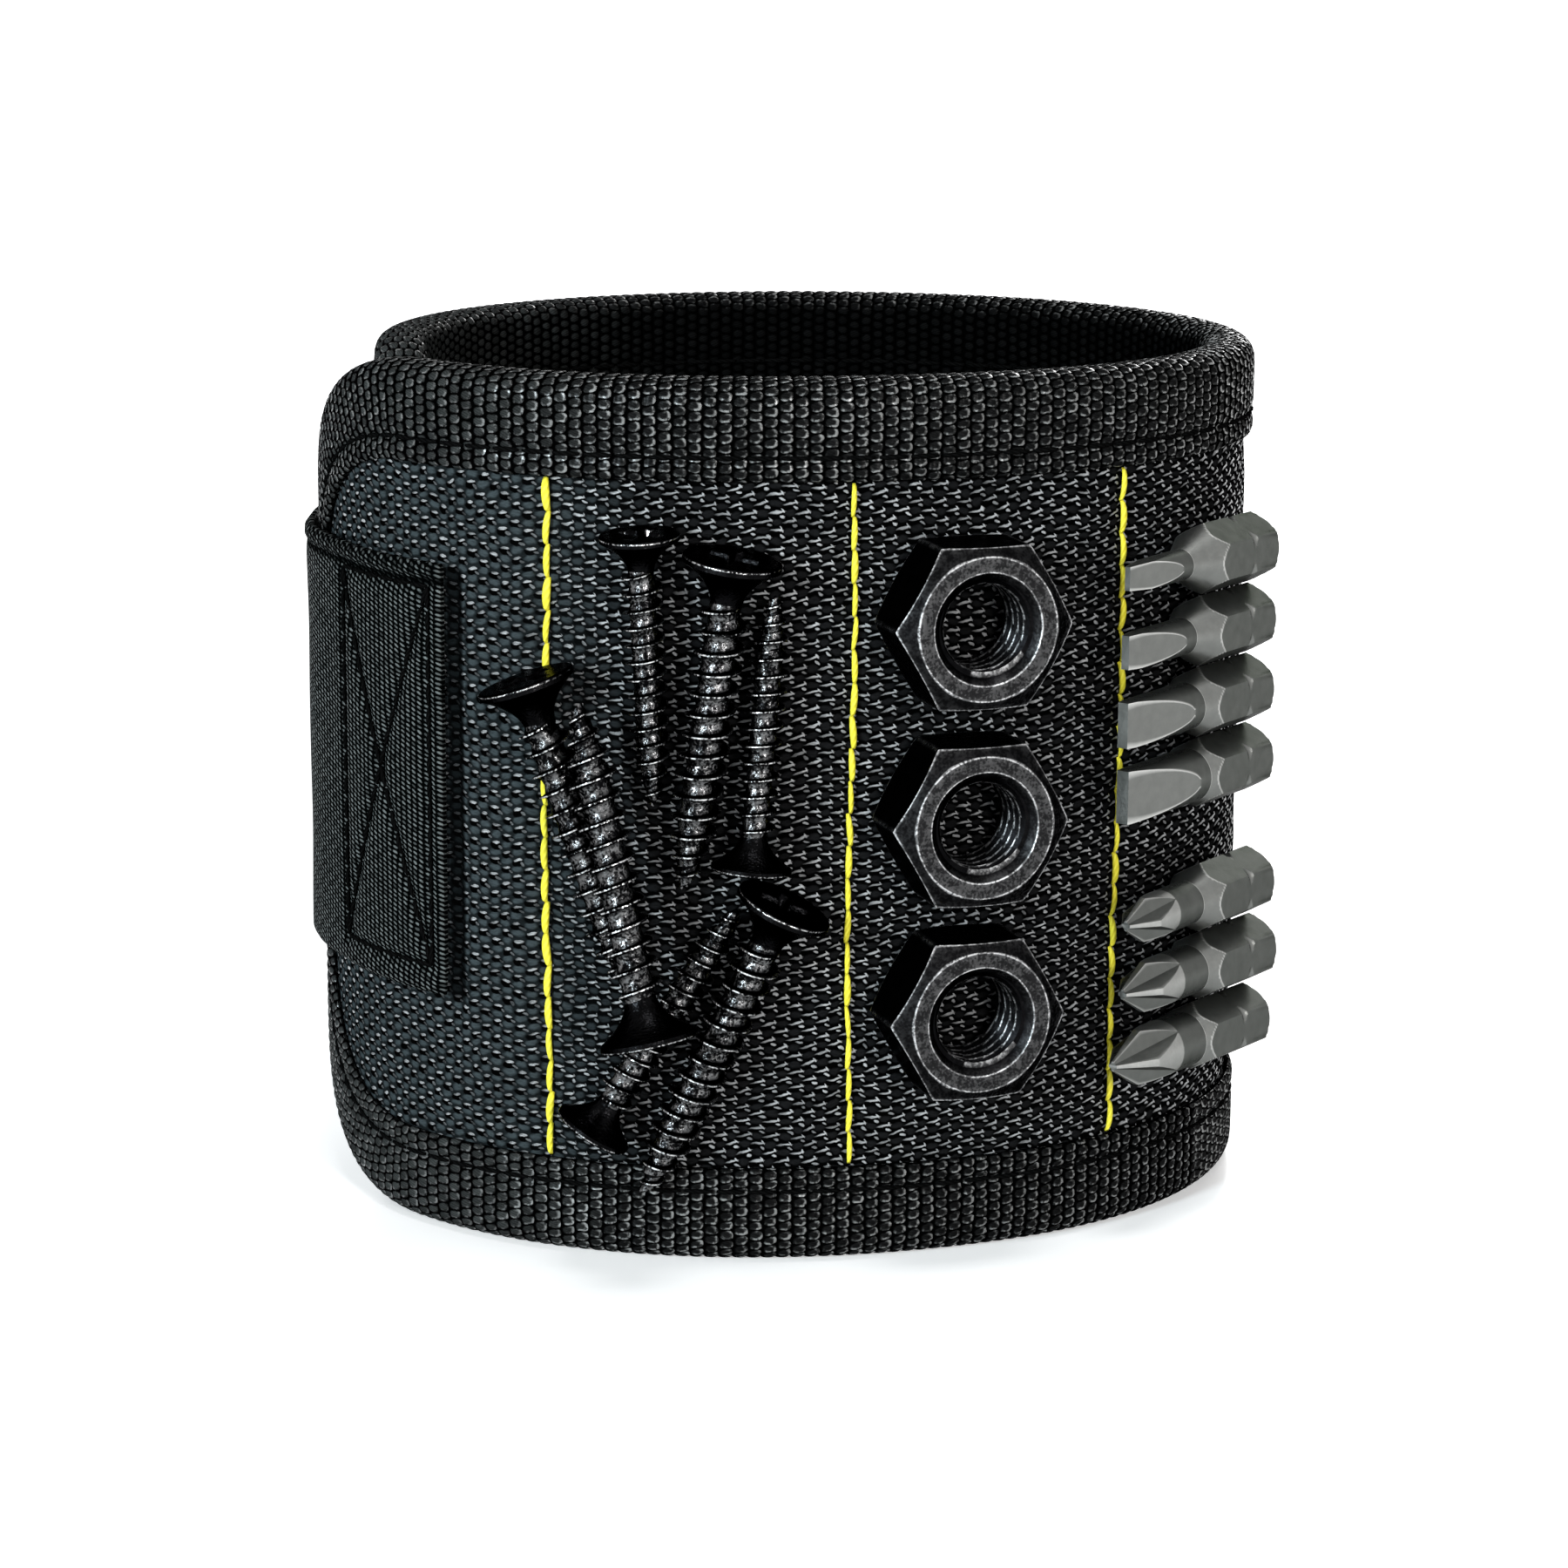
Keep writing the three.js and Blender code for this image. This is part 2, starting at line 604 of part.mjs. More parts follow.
// Turned solid about Z from points given as distance from the axis and height
function turned(points, sides) {
  const profile = points.map(([radius, height]) => new THREE.Vector2(radius, height));
  return new THREE.LatheGeometry(profile, sides).rotateX(Math.PI / 2);
}

// Nut with both faces chamfered and a ridged bore, its axis along Z and a corner along X
function nutGeometry() {
  const corner = NUT_ACROSS_FLATS / Math.sqrt(3);
  const flatRadius = NUT_ACROSS_FLATS / 2 - NUT_CHAMFER / 2;
  const prism = new THREE.CylinderGeometry(corner, corner, NUT_THICKNESS, HEXAGON_SIDES);
  prism.rotateX(Math.PI / 2).rotateZ(Math.PI / 2);
  const half = NUT_THICKNESS / 2;
  const chamfered = turned([
    [0, -half],
    [flatRadius, -half],
    [corner + NUT_CHAMFER, NUT_CHAMFER - half],
    [corner + NUT_CHAMFER, half - NUT_CHAMFER],
    [flatRadius, half],
    [0, half],
  ], NUT_SIDES);
  const mouth = NUT_MOUTH_DIAMETER / 2;
  const bore = NUT_BORE_DIAMETER / 2;
  const cone = mouth - bore;
  const past = half + NUT_CHAMFER;
  const ridged = [[0, -past], [mouth, -past], [mouth, -half]];
  const ridges = Math.floor((NUT_THICKNESS - 2 * cone) / NUT_THREAD_PITCH);
  const first = -(ridges * NUT_THREAD_PITCH) / 2;
  for (let i = 0; i < ridges; i += 1) {
    const height = first + i * NUT_THREAD_PITCH;
    ridged.push([bore, height], [bore + NUT_THREAD_DEPTH, height + NUT_THREAD_PITCH / 2]);
  }
  ridged.push([bore, -first], [mouth, half], [mouth, past], [0, past]);
  const solid = toSolid(prism).intersect(toSolid(chamfered));
  return toGeometry(solid.subtract(toSolid(turned(ridged, NUT_SIDES))));
}

// A piece built along Z is set with its X along the ring and its Z straight out
function standOut(piece, arc, height, out) {
  const normal = stripNormal(arc);
  const along = new THREE.Vector3(-normal.y, normal.x, 0);
  const upward = new THREE.Vector3().crossVectors(normal, along);
  const basis = new THREE.Matrix4().makeBasis(along, upward, normal);
  piece.quaternion.setFromRotationMatrix(basis);
  piece.position.copy(stripPoint(arc, height, out));
}

for (let i = 0; i < NUT_COUNT; i += 1) {
  const nut = addPiece(`nut_${i + 1}`, nutGeometry(), NUT_BLACK, 0.4, 0.8);
  const height = NUT_CENTRE_HEIGHT + ((NUT_COUNT - 1) / 2 - i) * NUT_SPACING;
  standOut(nut, arcAt(NUT_ANGLE), height, HARDWARE_FACE + NUT_THICKNESS / 2);
}

// Rings of twelve points that driver bits run through, wide along X
function polarRing(radiusAt) {
  return Array.from({ length: BIT_RING_POINTS }, (_, k) => {
    const turn = (k / BIT_RING_POINTS) * 2 * Math.PI;
    return new THREE.Vector2(Math.cos(turn), Math.sin(turn)).multiplyScalar(radiusAt(k));
  });
}

const hexRing = (flats) => polarRing((k) => (k % 2 === 0 ? flats / Math.sqrt(3) : flats / 2));
const roundRing = (diameter) => polarRing(() => diameter / 2);

function bladeRing(width, thickness) {
  return BLADE_SHARES.map(([across, up]) => new THREE.Vector2(across * width, up * thickness));
}

// Round shaft ground down on both sides
function groundRing(diameter, thickness) {
  return roundRing(diameter).map((point) => (
    new THREE.Vector2(point.x, THREE.MathUtils.clamp(point.y, -thickness / 2, thickness / 2))
  ));
}

// Cross of four arms: two outer corners and one root to each quarter
function crossRing(width, arm) {
  const quarter = [[width / 2, arm / 2], [arm / 2, arm / 2], [arm / 2, width / 2]];
  return Array.from({ length: BIT_RING_POINTS }, (_, k) => {
    const corner = new THREE.Vector2(...quarter[k % 3]);
    return corner.rotateAround(new THREE.Vector2(), Math.floor(k / 3) * (Math.PI / 2));
  });
}

function bitGeometry(rings) {
  const sections = rings.map(([height, ring]) => (
    ring.map((point) => new THREE.Vector3(point.x, point.y, height))
  ));
  return loft(sections, [rings[0][1], rings[rings.length - 1][1]]);
}

// Shared upper end: a cone out to the hexagon shank, its groove and the chamfer at its end
function shankRings(shaft) {
  const shoulder = BIT_LENGTH - BIT_SHANK_LENGTH;
  const notch = BIT_SHANK_LENGTH / 2;
  const rise = BIT_ACROSS_FLATS / Math.sqrt(3) - shaft / 2;
  const neck = rise / Math.tan(THREE.MathUtils.degToRad(BIT_NECK_ANGLE));
  return [
    [shoulder - neck, roundRing(shaft)],
    [shoulder, roundRing(BIT_ACROSS_FLATS - BIT_CHAMFER)],
    [shoulder + BIT_CHAMFER, hexRing(BIT_ACROSS_FLATS)],
    [shoulder + notch - BIT_CHAMFER, hexRing(BIT_ACROSS_FLATS)],
    [shoulder + notch, roundRing(BIT_ACROSS_FLATS)],
    [shoulder + notch + BIT_CHAMFER, hexRing(BIT_ACROSS_FLATS)],
    [BIT_LENGTH - BIT_CHAMFER, hexRing(BIT_ACROSS_FLATS)],
    [BIT_LENGTH, roundRing(BIT_ACROSS_FLATS - 2 * BIT_CHAMFER)],
  ];
}

// The flats run from the tip out to the shaft's surface, further along a thicker shaft
function slottedGeometry(width, shaft) {
  const tip = width * SLOTTED_TIP_SHARE;
  const blade = SLOTTED_RUN_OUT + shaft;
  return bitGeometry([
    [0, bladeRing(width, tip)],
    [blade / 2, groundRing(shaft, (tip + shaft) / 2)],
    [blade, roundRing(shaft)],
    ...shankRings(shaft),
  ]);
}

function phillipsGeometry(diameter) {
  const arm = diameter * PHILLIPS_TIP_SHARE;
  return bitGeometry([
    [0, crossRing(diameter * PHILLIPS_TIP_SHARE, arm / 2)],
    [PHILLIPS_TIP_LENGTH / 4, crossRing(diameter / 2, arm / 2)],
    [PHILLIPS_TIP_LENGTH, crossRing(diameter, arm)],
    [PHILLIPS_TIP_LENGTH + PHILLIPS_NECK_LENGTH, roundRing(diameter)],
    ...shankRings(diameter),
  ]);
}

// Bits lie level against the side panel: the ring angle where each touches it, and how far
// its middle is shifted back along itself
const SLOTTED_PLACES = [[55.6, 6.9], [55.7, 7.1], [55.4, 6.8], [55.3, 6.4]];
const PHILLIPS_PLACES = [[55.6, 5.5], [53.8, 3.5], [52.9, 3.8]];

function layBit(piece, angle, shift, height) {
  const arc = arcAt(angle);
  const normal = stripNormal(arc);
  const along = new THREE.Vector3(-normal.y, normal.x, 0);
  const upward = new THREE.Vector3(0, 0, 1);
  const side = new THREE.Vector3().crossVectors(along, upward);
  piece.quaternion.setFromRotationMatrix(new THREE.Matrix4().makeBasis(upward, side, along));
  const out = HARDWARE_FACE + BIT_ACROSS_FLATS / 2;
  piece.position.copy(stripPoint(arc, height, out));
  piece.position.addScaledVector(along, -BIT_LENGTH / 2 - shift);
}

SLOTTED_WIDTHS.forEach((width, i) => {
  const shape = slottedGeometry(width, SLOTTED_SHAFT_DIAMETERS[i]);
  const bit = addPiece(`slotted_bit_${i + 1}`, shape, BIT_GREY, 0.4, 0.9);
  layBit(bit, ...SLOTTED_PLACES[i], SLOTTED_TOP_HEIGHT - i * BIT_SPACING);
});
PHILLIPS_SHAFT_DIAMETERS.forEach((diameter, i) => {
  const bit = addPiece(`phillips_bit_${i + 1}`, phillipsGeometry(diameter), BIT_GREY, 0.4, 0.9);
  layBit(bit, ...PHILLIPS_PLACES[i], PHILLIPS_TOP_HEIGHT - i * BIT_SPACING);
});

// Unbroken helix of thread from below the head to the tip: rows of root and crest by
// turns, where the end of each row runs on into the row two further along
function helixGeometry(size) {
  const sides = SCREW_THREAD_SIDES;
  const start = size.headLength;
  const rows = 2 * Math.floor((size.length - start - size.pitch) / size.pitch);
  const points = [];
  for (let row = 0; row <= rows; row += 1) {
    for (let k = 0; k < sides; k += 1) {
      const height = start + (row / 2 + k / sides) * size.pitch;
      const taper = Math.min(1, (size.length - height) / size.taperLength);
      const diameter = row % 2 === 0 ? size.coreDiameter : size.threadDiameter;
      const turn = (k / sides) * 2 * Math.PI;
      const radius = (diameter / 2) * Math.sqrt(Math.max(0, taper));
      points.push(new THREE.Vector3(radius * Math.cos(turn), radius * Math.sin(turn), height));
    }
  }
  const at = (row, k) => (k < sides ? row * sides + k : (row + 2) * sides);
  const index = [];
  for (let row = 0; row < rows; row += 1) {
    const last = row + 3 > rows ? sides - 1 : sides;
    for (let k = 0; k < last; k += 1) {
      index.push(at(row, k), at(row, k + 1), at(row + 1, k + 1));
      index.push(at(row, k), at(row + 1, k + 1), at(row + 1, k));
    }
  }
  const base = points.push(new THREE.Vector3(0, 0, start - size.rimThickness)) - 1;
  const tip = points.push(new THREE.Vector3(0, 0, size.length)) - 1;
  const columns = Array.from({ length: sides }, (_, k) => k);
  const first = [...columns.map((k) => at(0, k)), at(2, 0), at(1, 0)];
  const end = [...columns.map((k) => at(rows, k)), at(rows - 1, sides - 1), at(rows - 2, sides - 1)];
  first.forEach((point, i) => index.push(base, first[(i + 1) % first.length], point));
  end.forEach((point, i) => index.push(tip, point, end[(i + 1) % end.length]));
  return closedGeometry(points, index);
}

// Screw along Z from the face of its head: bugle head, cross recess and thread
function screwGeometry(size) {
  const rim = size.headDiameter / 2;
  const core = size.coreDiameter / 2;
  const flare = size.headLength - size.rimThickness;
  const head = turned([
    [0, 0],
    [rim, 0],
    [rim, size.rimThickness],
    ...BUGLE_SHARES.map(([along, across]) => (
      [lerp(core, rim, across), size.rimThickness + flare * along]
    )),
    [core, size.headLength],
    [core, size.headLength + size.pitch],
    [0, size.headLength + size.pitch],
  ], SCREW_HEAD_SIDES);
  const width = size.headDiameter * RECESS_WIDTH_SHARE;
  const slot = size.coreDiameter * RECESS_SLOT_SHARE;
  const depth = size.headLength * RECESS_DEPTH_SHARE;
  const recess = bitGeometry([
    [-size.rimThickness, crossRing(width, slot)],
    [depth, crossRing(width / 2, slot)],
  ]);
  const solid = toSolid(head).add(toSolid(helixGeometry(size)));
  return toGeometry(solid.subtract(toSolid(recess)));
}

for (const { name, size, head, tip } of SCREWS) {
  const screw = addPiece(name, screwGeometry(size), SCREW_BLACK, 0.3, 0.7);
  const lift = (share) => share * LONG_SCREW.threadDiameter;
  const headOut = HARDWARE_FACE + size.headDiameter / 2 + lift(head[2]);
  const tipOut = HARDWARE_FACE + size.threadDiameter / 2 + lift(tip[2]);
  const from = stripPoint(arcAt(head[0]), head[1] * BAND_HEIGHT, headOut);
  const to = stripPoint(arcAt(tip[0]), tip[1] * BAND_HEIGHT, tipOut);
  screw.position.copy(from);
  const direction = to.sub(from).normalize();
  screw.quaternion.setFromUnitVectors(new THREE.Vector3(0, 0, 1), direction);
}

// The origin lies on the ground under the middle of the whole
const bounds = new THREE.Box3().setFromObject(model);
const middle = bounds.getCenter(new THREE.Vector3());
model.position.set(-middle.x, -middle.y, -bounds.min.z);

const wristband = new THREE.Group();
wristband.add(model);

export default wristband;
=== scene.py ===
import math
import bpy
import numpy as np
from mathutils import Matrix, Vector


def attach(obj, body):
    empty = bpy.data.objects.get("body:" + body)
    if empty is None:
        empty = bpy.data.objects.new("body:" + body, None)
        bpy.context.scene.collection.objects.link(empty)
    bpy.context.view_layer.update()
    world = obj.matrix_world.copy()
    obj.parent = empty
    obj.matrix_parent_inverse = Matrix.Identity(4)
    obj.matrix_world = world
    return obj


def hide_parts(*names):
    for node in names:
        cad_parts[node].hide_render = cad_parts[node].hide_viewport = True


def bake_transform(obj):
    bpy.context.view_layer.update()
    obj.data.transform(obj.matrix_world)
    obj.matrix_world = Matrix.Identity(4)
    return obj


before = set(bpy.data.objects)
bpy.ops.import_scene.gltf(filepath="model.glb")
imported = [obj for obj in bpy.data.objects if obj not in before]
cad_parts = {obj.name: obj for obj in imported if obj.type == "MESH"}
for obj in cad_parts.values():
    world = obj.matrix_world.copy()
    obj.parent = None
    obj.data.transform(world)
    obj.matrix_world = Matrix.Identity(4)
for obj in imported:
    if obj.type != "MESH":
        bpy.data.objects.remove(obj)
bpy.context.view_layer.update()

# ------------------------ camera
# The band is seen from the front and a little above, from 0.43 m away, through a long
# lens, so its rim is an open ellipse and its front edge is a shallow curve.
VIEW_FROM = (-0.000336, -0.432226, 0.14303)
VIEW_DOWN, VIEW_ASIDE, VIEW_ROLL = np.radians([13.126, -0.028, 0.381])
FOCAL_PIXELS, FRAME_PIXELS, SENSOR = 4758.2, 1800, 36


def stand(name, made):
    """New object of the scene, at the origin."""
    standing = bpy.data.objects.new(name, made)
    bpy.context.scene.collection.objects.link(standing)
    return standing


ahead = Vector((
    math.sin(VIEW_ASIDE) * math.cos(VIEW_DOWN),
    math.cos(VIEW_ASIDE) * math.cos(VIEW_DOWN),
    -math.sin(VIEW_DOWN),
))
level = ahead.cross(Vector((0, 0, 1))).normalized()
upright = level.cross(ahead)
right = level * math.cos(VIEW_ROLL) + upright * math.sin(VIEW_ROLL)
up = upright * math.cos(VIEW_ROLL) - level * math.sin(VIEW_ROLL)
lens = bpy.data.cameras.new("camera")
lens.sensor_width = SENSOR
lens.lens = SENSOR * FOCAL_PIXELS / FRAME_PIXELS
lens.clip_start = 0.02
camera = stand("camera", lens)
camera.matrix_world = Matrix((right, up, -ahead)).transposed().to_4x4()
camera.location = VIEW_FROM
bpy.context.scene.camera = camera
bpy.context.scene.view_settings.view_transform = "Standard"


# ------------------------ studio
# A white paper sweep under broad soft lamps: the main one at the left and a little cool,
# a weaker one at the right, one above for the glints on steel and thread, and one behind.
class Signal:
    """What leaves one socket of a material's nodes. Arithmetic on it adds Math nodes."""

    def __init__(self, tree, socket=None):
        self.tree, self.socket = tree, socket

    def node(self, kind, settings, sockets, leaves=0):
        """Adds a node: its settings first, then each socket's number or link."""
        made = self.tree.nodes.new(kind)
        for name, value in settings.items():
            setattr(made, name, value)
        for name, value in sockets.items():
            if isinstance(value, Signal):
                self.tree.links.new(value.socket, made.inputs[name])
            else:
                made.inputs[name].default_value = value
        return Signal(self.tree, made.outputs[leaves])

    def math(self, operation, *others):
        """One Math node over this and the others."""
        values = dict(enumerate((self, *others)))
        return self.node("ShaderNodeMath", {"operation": operation}, values)

    def __add__(self, other):
        return self.math("ADD", other)

    def __sub__(self, other):
        return self.math("SUBTRACT", other)

    def __rsub__(self, other):
        return self.node("ShaderNodeMath", {"operation": "SUBTRACT"}, {0: other, 1: self})

    def __mul__(self, other):
        return self.math("MULTIPLY", other)

    def __truediv__(self, other):
        return self.math("DIVIDE", other)

    __radd__, __rmul__ = __add__, __mul__

    def parts(self, *which):
        """Some of a vector's three parts."""
        return [self.node("ShaderNodeSeparateXYZ", {}, {0: self}, leaves=part) for part in which]

    def wave(self):
        """Rises to 1 and falls to 0 once in each whole number, as a sine."""
        return (self * math.tau).math("SINE") * 0.5 + 0.5

    def bump(self, depth):
        """Normal of a surface that stands higher by so many metres where this is 1."""
        return self.node("ShaderNodeBump", {}, {"Height": self, "Distance": depth})

    def share(self, low, high):
        """0 below low, 1 above high, and a smooth rise between them; high may be the lower."""
        return self.node(
            "ShaderNodeMapRange",
            {"interpolation_type": "SMOOTHSTEP"},
            {"Value": self, "From Min": low, "From Max": high},
        )

    def tint(self, start, end):
        """Colour that goes from start to end as this goes from 0 to 1."""
        ends = {6: colour(start), 7: colour(end)}
        return self.node("ShaderNodeMix", {"data_type": "RGBA"}, {0: self, **ends}, leaves=2)


def colour(shade):
    """Solid colour of a red, a green and a blue, or of one number for a grey."""
    return shade if isinstance(shade, Signal) else (*np.broadcast_to(shade, 3).tolist(), 1)


def finish(name, **even):
    """New material with the shader values that are the same all over. Gives it with the
    start of its node work and its shader."""
    made = bpy.data.materials.new(name)
    made.use_nodes = True
    shader = made.node_tree.nodes["Principled BSDF"]
    for socket, value in even.items():
        shader.inputs[socket.replace("_", " ")].default_value = value
    return made, Signal(made.node_tree), shader


def drive(shader, **varying):
    """Links what changes over the surface to the shader's sockets."""
    for socket, signal in varying.items():
        signal.tree.links.new(signal.socket, shader.inputs[socket.replace("_", " ")])


def seen_as_backdrop(start):
    """1 for what the lens sees directly, in a mirror or through glass, 0 for lighting."""
    paths = [
        start.node("ShaderNodeLightPath", {}, {}, leaves=ray)
        for ray in ("Is Camera Ray", "Is Glossy Ray", "Is Transmission Ray")
    ]
    return (paths[0] + paths[1] + paths[2]).math("MINIMUM", 1.0)


def at_rest(start):
    """Place on the object, in metres."""
    return start.node("ShaderNodeTexCoord", {}, {}, leaves="Object")


sky = bpy.data.worlds.new("studio")
bpy.context.scene.world = sky
sky.use_nodes = True
start = Signal(sky.node_tree)
ambient = sky.node_tree.nodes["Background"]
ambient.inputs["Color"].default_value = colour(1)
backdrop = seen_as_backdrop(start)
start.tree.links.new((0.14 + backdrop * 0.86).socket, ambient.inputs["Strength"])

paper, start, shader = finish("white_paper", Base_Color=colour(0.86), Roughness=0.28)
shader.inputs["Emission Color"].default_value = colour(1)
away = start.node(
    "ShaderNodeVectorMath", {"operation": "LENGTH"}, {0: at_rest(start)}, leaves="Value"
)
glow = seen_as_backdrop(start) * (0.42 + away.share(0.1, 0.5) * 0.6)
start.tree.links.new(glow.socket, shader.inputs["Emission Strength"])
sweep = bpy.data.meshes.new("paper_sweep")
sweep.from_pydata([(-4, -4, 0), (4, -4, 0), (4, 4, 0), (-4, 4, 0)], [], [(0, 1, 2, 3)])
sweep.materials.append(paper)
floor = stand("paper_sweep", sweep)

LAMPS_AIM = Vector((0, 0, 0.045))
LAMPS = {
    "lamp_left": ((-0.55, -0.72, 0.30), (0.15, 0.20), 9.0, (0.80, 0.94, 1.0)),
    "lamp_right": ((0.34, -0.80, 0.26), (0.07, 0.20), 3.6, (1.0, 0.98, 0.96)),
    "lamp_above": ((0.05, -0.20, 0.80), (0.25, 0.15), 2.2, (1.0, 1.0, 1.0)),
    "lamp_behind": ((0.30, 0.70, 0.40), (0.4, 0.3), 3.0, (1.0, 1.0, 1.0)),
}
for name, (place, size, watts, glow) in LAMPS.items():
    lamp = bpy.data.lights.new(name, "AREA")
    lamp.shape = "RECTANGLE"
    lamp.size, lamp.size_y = size
    lamp.energy, lamp.color = watts, glow
    holder = stand(name, lamp)
    holder.location = place
    holder.rotation_mode = "QUATERNION"
    holder.rotation_quaternion = (LAMPS_AIM - Vector(place)).to_track_quat("-Z", "Y")

# ------------------------ outer cloth
# Heavy black nylon, woven of thick yarns in short staggered floats, sewn over the padding
# in panels. Each seam pulls it down, so the panels stand up like low pillows.
HALF_WIDTH, HALF_DEPTH = 43.8, 36.7
RING_TURN = math.radians(3.4)
RING_CENTRE = (2.4243, 7.7738)
FLAP_STEP, FLAP_PARTS, FLAP_JOINS = 6.1, -70, 25
BAND_HEIGHT = 90.0
COVER_FACE, COVER_THICKNESS, COVER_INSET = 2.05, 0.9, 0.85
CROWN = 0.5
TAPE_WIDTH = 10.0


def unit(vectors):
    """The vectors' directions, each of length 1."""
    return vectors / np.linalg.norm(vectors, axis=-1, keepdims=True)


def run_along(points):
    """How far each point is along the line through them."""
    steps = np.linalg.norm(np.diff(points, axis=-2), axis=-1)
    return np.append(0 * steps[..., :1], np.cumsum(steps, -1), -1)


def flat_grid(rows, columns):
    """Plan of a grid from how far each row and each column is."""
    return np.stack(np.meshgrid(rows, columns, indexing="ij"), -1)


def flat_shell(arc, height):
    """Plan of a closed shell: its places on the flat cloth, with the first column again."""
    plan = np.stack([arc, height], -1)
    return np.concatenate([plan, plan[:, :1]], 1)


def middle_line(angle):
    """Ellipse of the ring, carried outwards by one band's thickness along the flap, then
    turned a little and moved to the ring's centre."""
    turn = np.radians(angle)
    place = np.stack([HALF_WIDTH * np.sin(turn), -HALF_DEPTH * np.cos(turn)], -1)
    out = unit(np.stack([HALF_DEPTH * np.sin(turn), -HALF_WIDTH * np.cos(turn)], -1))
    share = np.clip((np.asarray(angle) - FLAP_PARTS) / (FLAP_JOINS - FLAP_PARTS), 0, 1)
    place = place + (FLAP_STEP * (1 - share**2 * (3 - 2 * share)))[..., None] * out
    c, s = math.cos(RING_TURN), math.sin(RING_TURN)
    return place @ np.array([[c, s], [-s, c]]) + RING_CENTRE


ANGLES = np.linspace(-104, 288, 4000)
ARCS = run_along(middle_line(ANGLES))


def arc_at(angle):
    """How far along the middle line, in mm, an angle of the ring is."""
    return np.interp(angle, ANGLES, ARCS)


def strip(arc, height, out):
    """Point of the band in metres: so far along its middle line, so high above its lower
    edge, and so far out, square to the line."""
    arc, height, out = np.broadcast_arrays(*np.atleast_1d(arc, height, out))
    near = [middle_line(np.interp(arc + step, ARCS, ANGLES)) for step in (-0.2, 0, 0.2)]
    along = unit(near[2] - near[0])
    level = near[1] + out[..., None] * np.stack([along[..., 1], -along[..., 0]], -1)
    return np.concatenate([level, height[..., None]], -1) / 1000


def piece_of(name, points, plan, material, slot, wrap=True, capped=True, crease=None, wear_and_glint=None):
    """Piece through grids of points (grids, rows, columns, 3). Faces join neighbouring
    rows and columns; wrap joins the last column to the first, and capped closes each
    grid's first and last row with one face. plan is each point's place in mm on the flat
    cloth or along the piece, with one more column where the grid wraps. The last argument
    gives how bright each point is painted: partly metal scuffed by use, partly painted
    highlight."""
    if points.ndim == 3:
        points, plan = points[None], plan[None]
    grids, rows, columns, _ = points.shape
    number = np.arange(grids * rows * columns).reshape(grids, rows, columns)
    if wrap:
        number = np.concatenate([number, number[:, :, :1]], 2)

    def corners(grid):
        """The four corners of each face."""
        return np.stack([grid[:, :-1, :-1], grid[:, :-1, 1:], grid[:, 1:, 1:], grid[:, 1:, :-1]], 3)

    faces = corners(number).reshape(-1, 4).tolist()
    flat = [corners(plan).reshape(-1, 2)]
    ends = 0
    if capped:
        for row, step in ((0, -1), (rows - 1, 1)):
            faces += number[:, row, :columns][:, ::step].tolist()
            flat.append(plan[:, row, :columns][:, ::step].reshape(-1, 2))
            ends += grids
    mesh = bpy.data.meshes.new(name)
    mesh.from_pydata(points.reshape(-1, 3).tolist(), [], faces)
    mesh.uv_layers.new(name="plan").uv.foreach_set("vector", np.concatenate(flat).ravel())
    smooth = np.arange(len(faces)) < len(faces) - ends
    mesh.polygons.foreach_set("use_smooth", smooth)
    mesh.update()
    mesh.calc_loop_triangles()
    third = np.zeros(len(mesh.loop_triangles) * 3, int)
    mesh.loop_triangles.foreach_get("vertices", third)
    a, b, c = points.reshape(-1, 3)[third.reshape(-1, 3)].transpose(1, 0, 2)
    if np.einsum("ij,ij->", a, np.cross(b, c)) < 0:
        mesh.flip_normals()
    if crease:
        mesh.set_sharp_from_angle(angle=math.radians(crease))
    if wear_and_glint is not None:
        wear_and_glint_paint = mesh.attributes.new("wear_and_glint", "FLOAT", "POINT")
        wear_and_glint_paint.data.foreach_set("value", wear_and_glint.ravel().astype(np.float32))
    mesh.materials.append(material)
    piece = stand(name, mesh)
    return piece


SEAMS = arc_at([-35.9, 1.4, 40.2, 80])
SPLIT = (SEAMS[2] + SEAMS[3]) / 2
STRAP_EDGE = arc_at(-49.5)
STRAP_LOW, STRAP_HIGH = 25.4, 70.2
STITCH, PANEL = 3.3, 34

# The band folds at the third and fourth seams. Its cloth is made in two halves that meet
# between them.
HALVES = {
    "flap": {
        "free": arc_at(-97),
        "corner": 31.0,
        "bodies": ("band_front", "band_side"),
        "fold": ((0.03095, -0.0233, 0.045), (0.03735, -0.0183, 0.045)),
    },
    "tail": {
        "free": ARCS[-1],
        "corner": 14.0,
        "bodies": ("band_side", "band_back"),
        "fold": ((0.05015, -0.0003, 0.045), (0.04735, 0.0073, 0.045)),
    },
}


def over_fold(piece):
    """Bakes the half's placement into its mesh."""
    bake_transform(piece)


def half_arcs(half, inset, pitch):
    """Places along a half from its free end to the middle of the side panel, close
    together in the rounded corner: the corner's run is a cosine of even turns."""
    free, corner = HALVES[half]["free"], HALVES[half]["corner"]
    way = np.sign(SPLIT - free)
    turns = np.linspace(0, math.pi / 2, 25)[:-1]
    rounded = corner - (corner - inset) * np.cos(turns)
    rest = np.linspace(corner, abs(SPLIT - free), int(abs(SPLIT - free) / pitch))
    return free + way * np.concatenate([rounded, rest])


def low_edge(half, arc, inset):
    """Height of the lower outline: the inset, rising round a quarter circle at the end."""
    free, corner = HALVES[half]["free"], HALVES[half]["corner"]
    across = np.maximum(corner - np.abs(arc - free), 0)
    rise = corner - np.sqrt(np.maximum((corner - inset) ** 2 - across**2, 0))
    return np.where(across > 0, rise, inset)


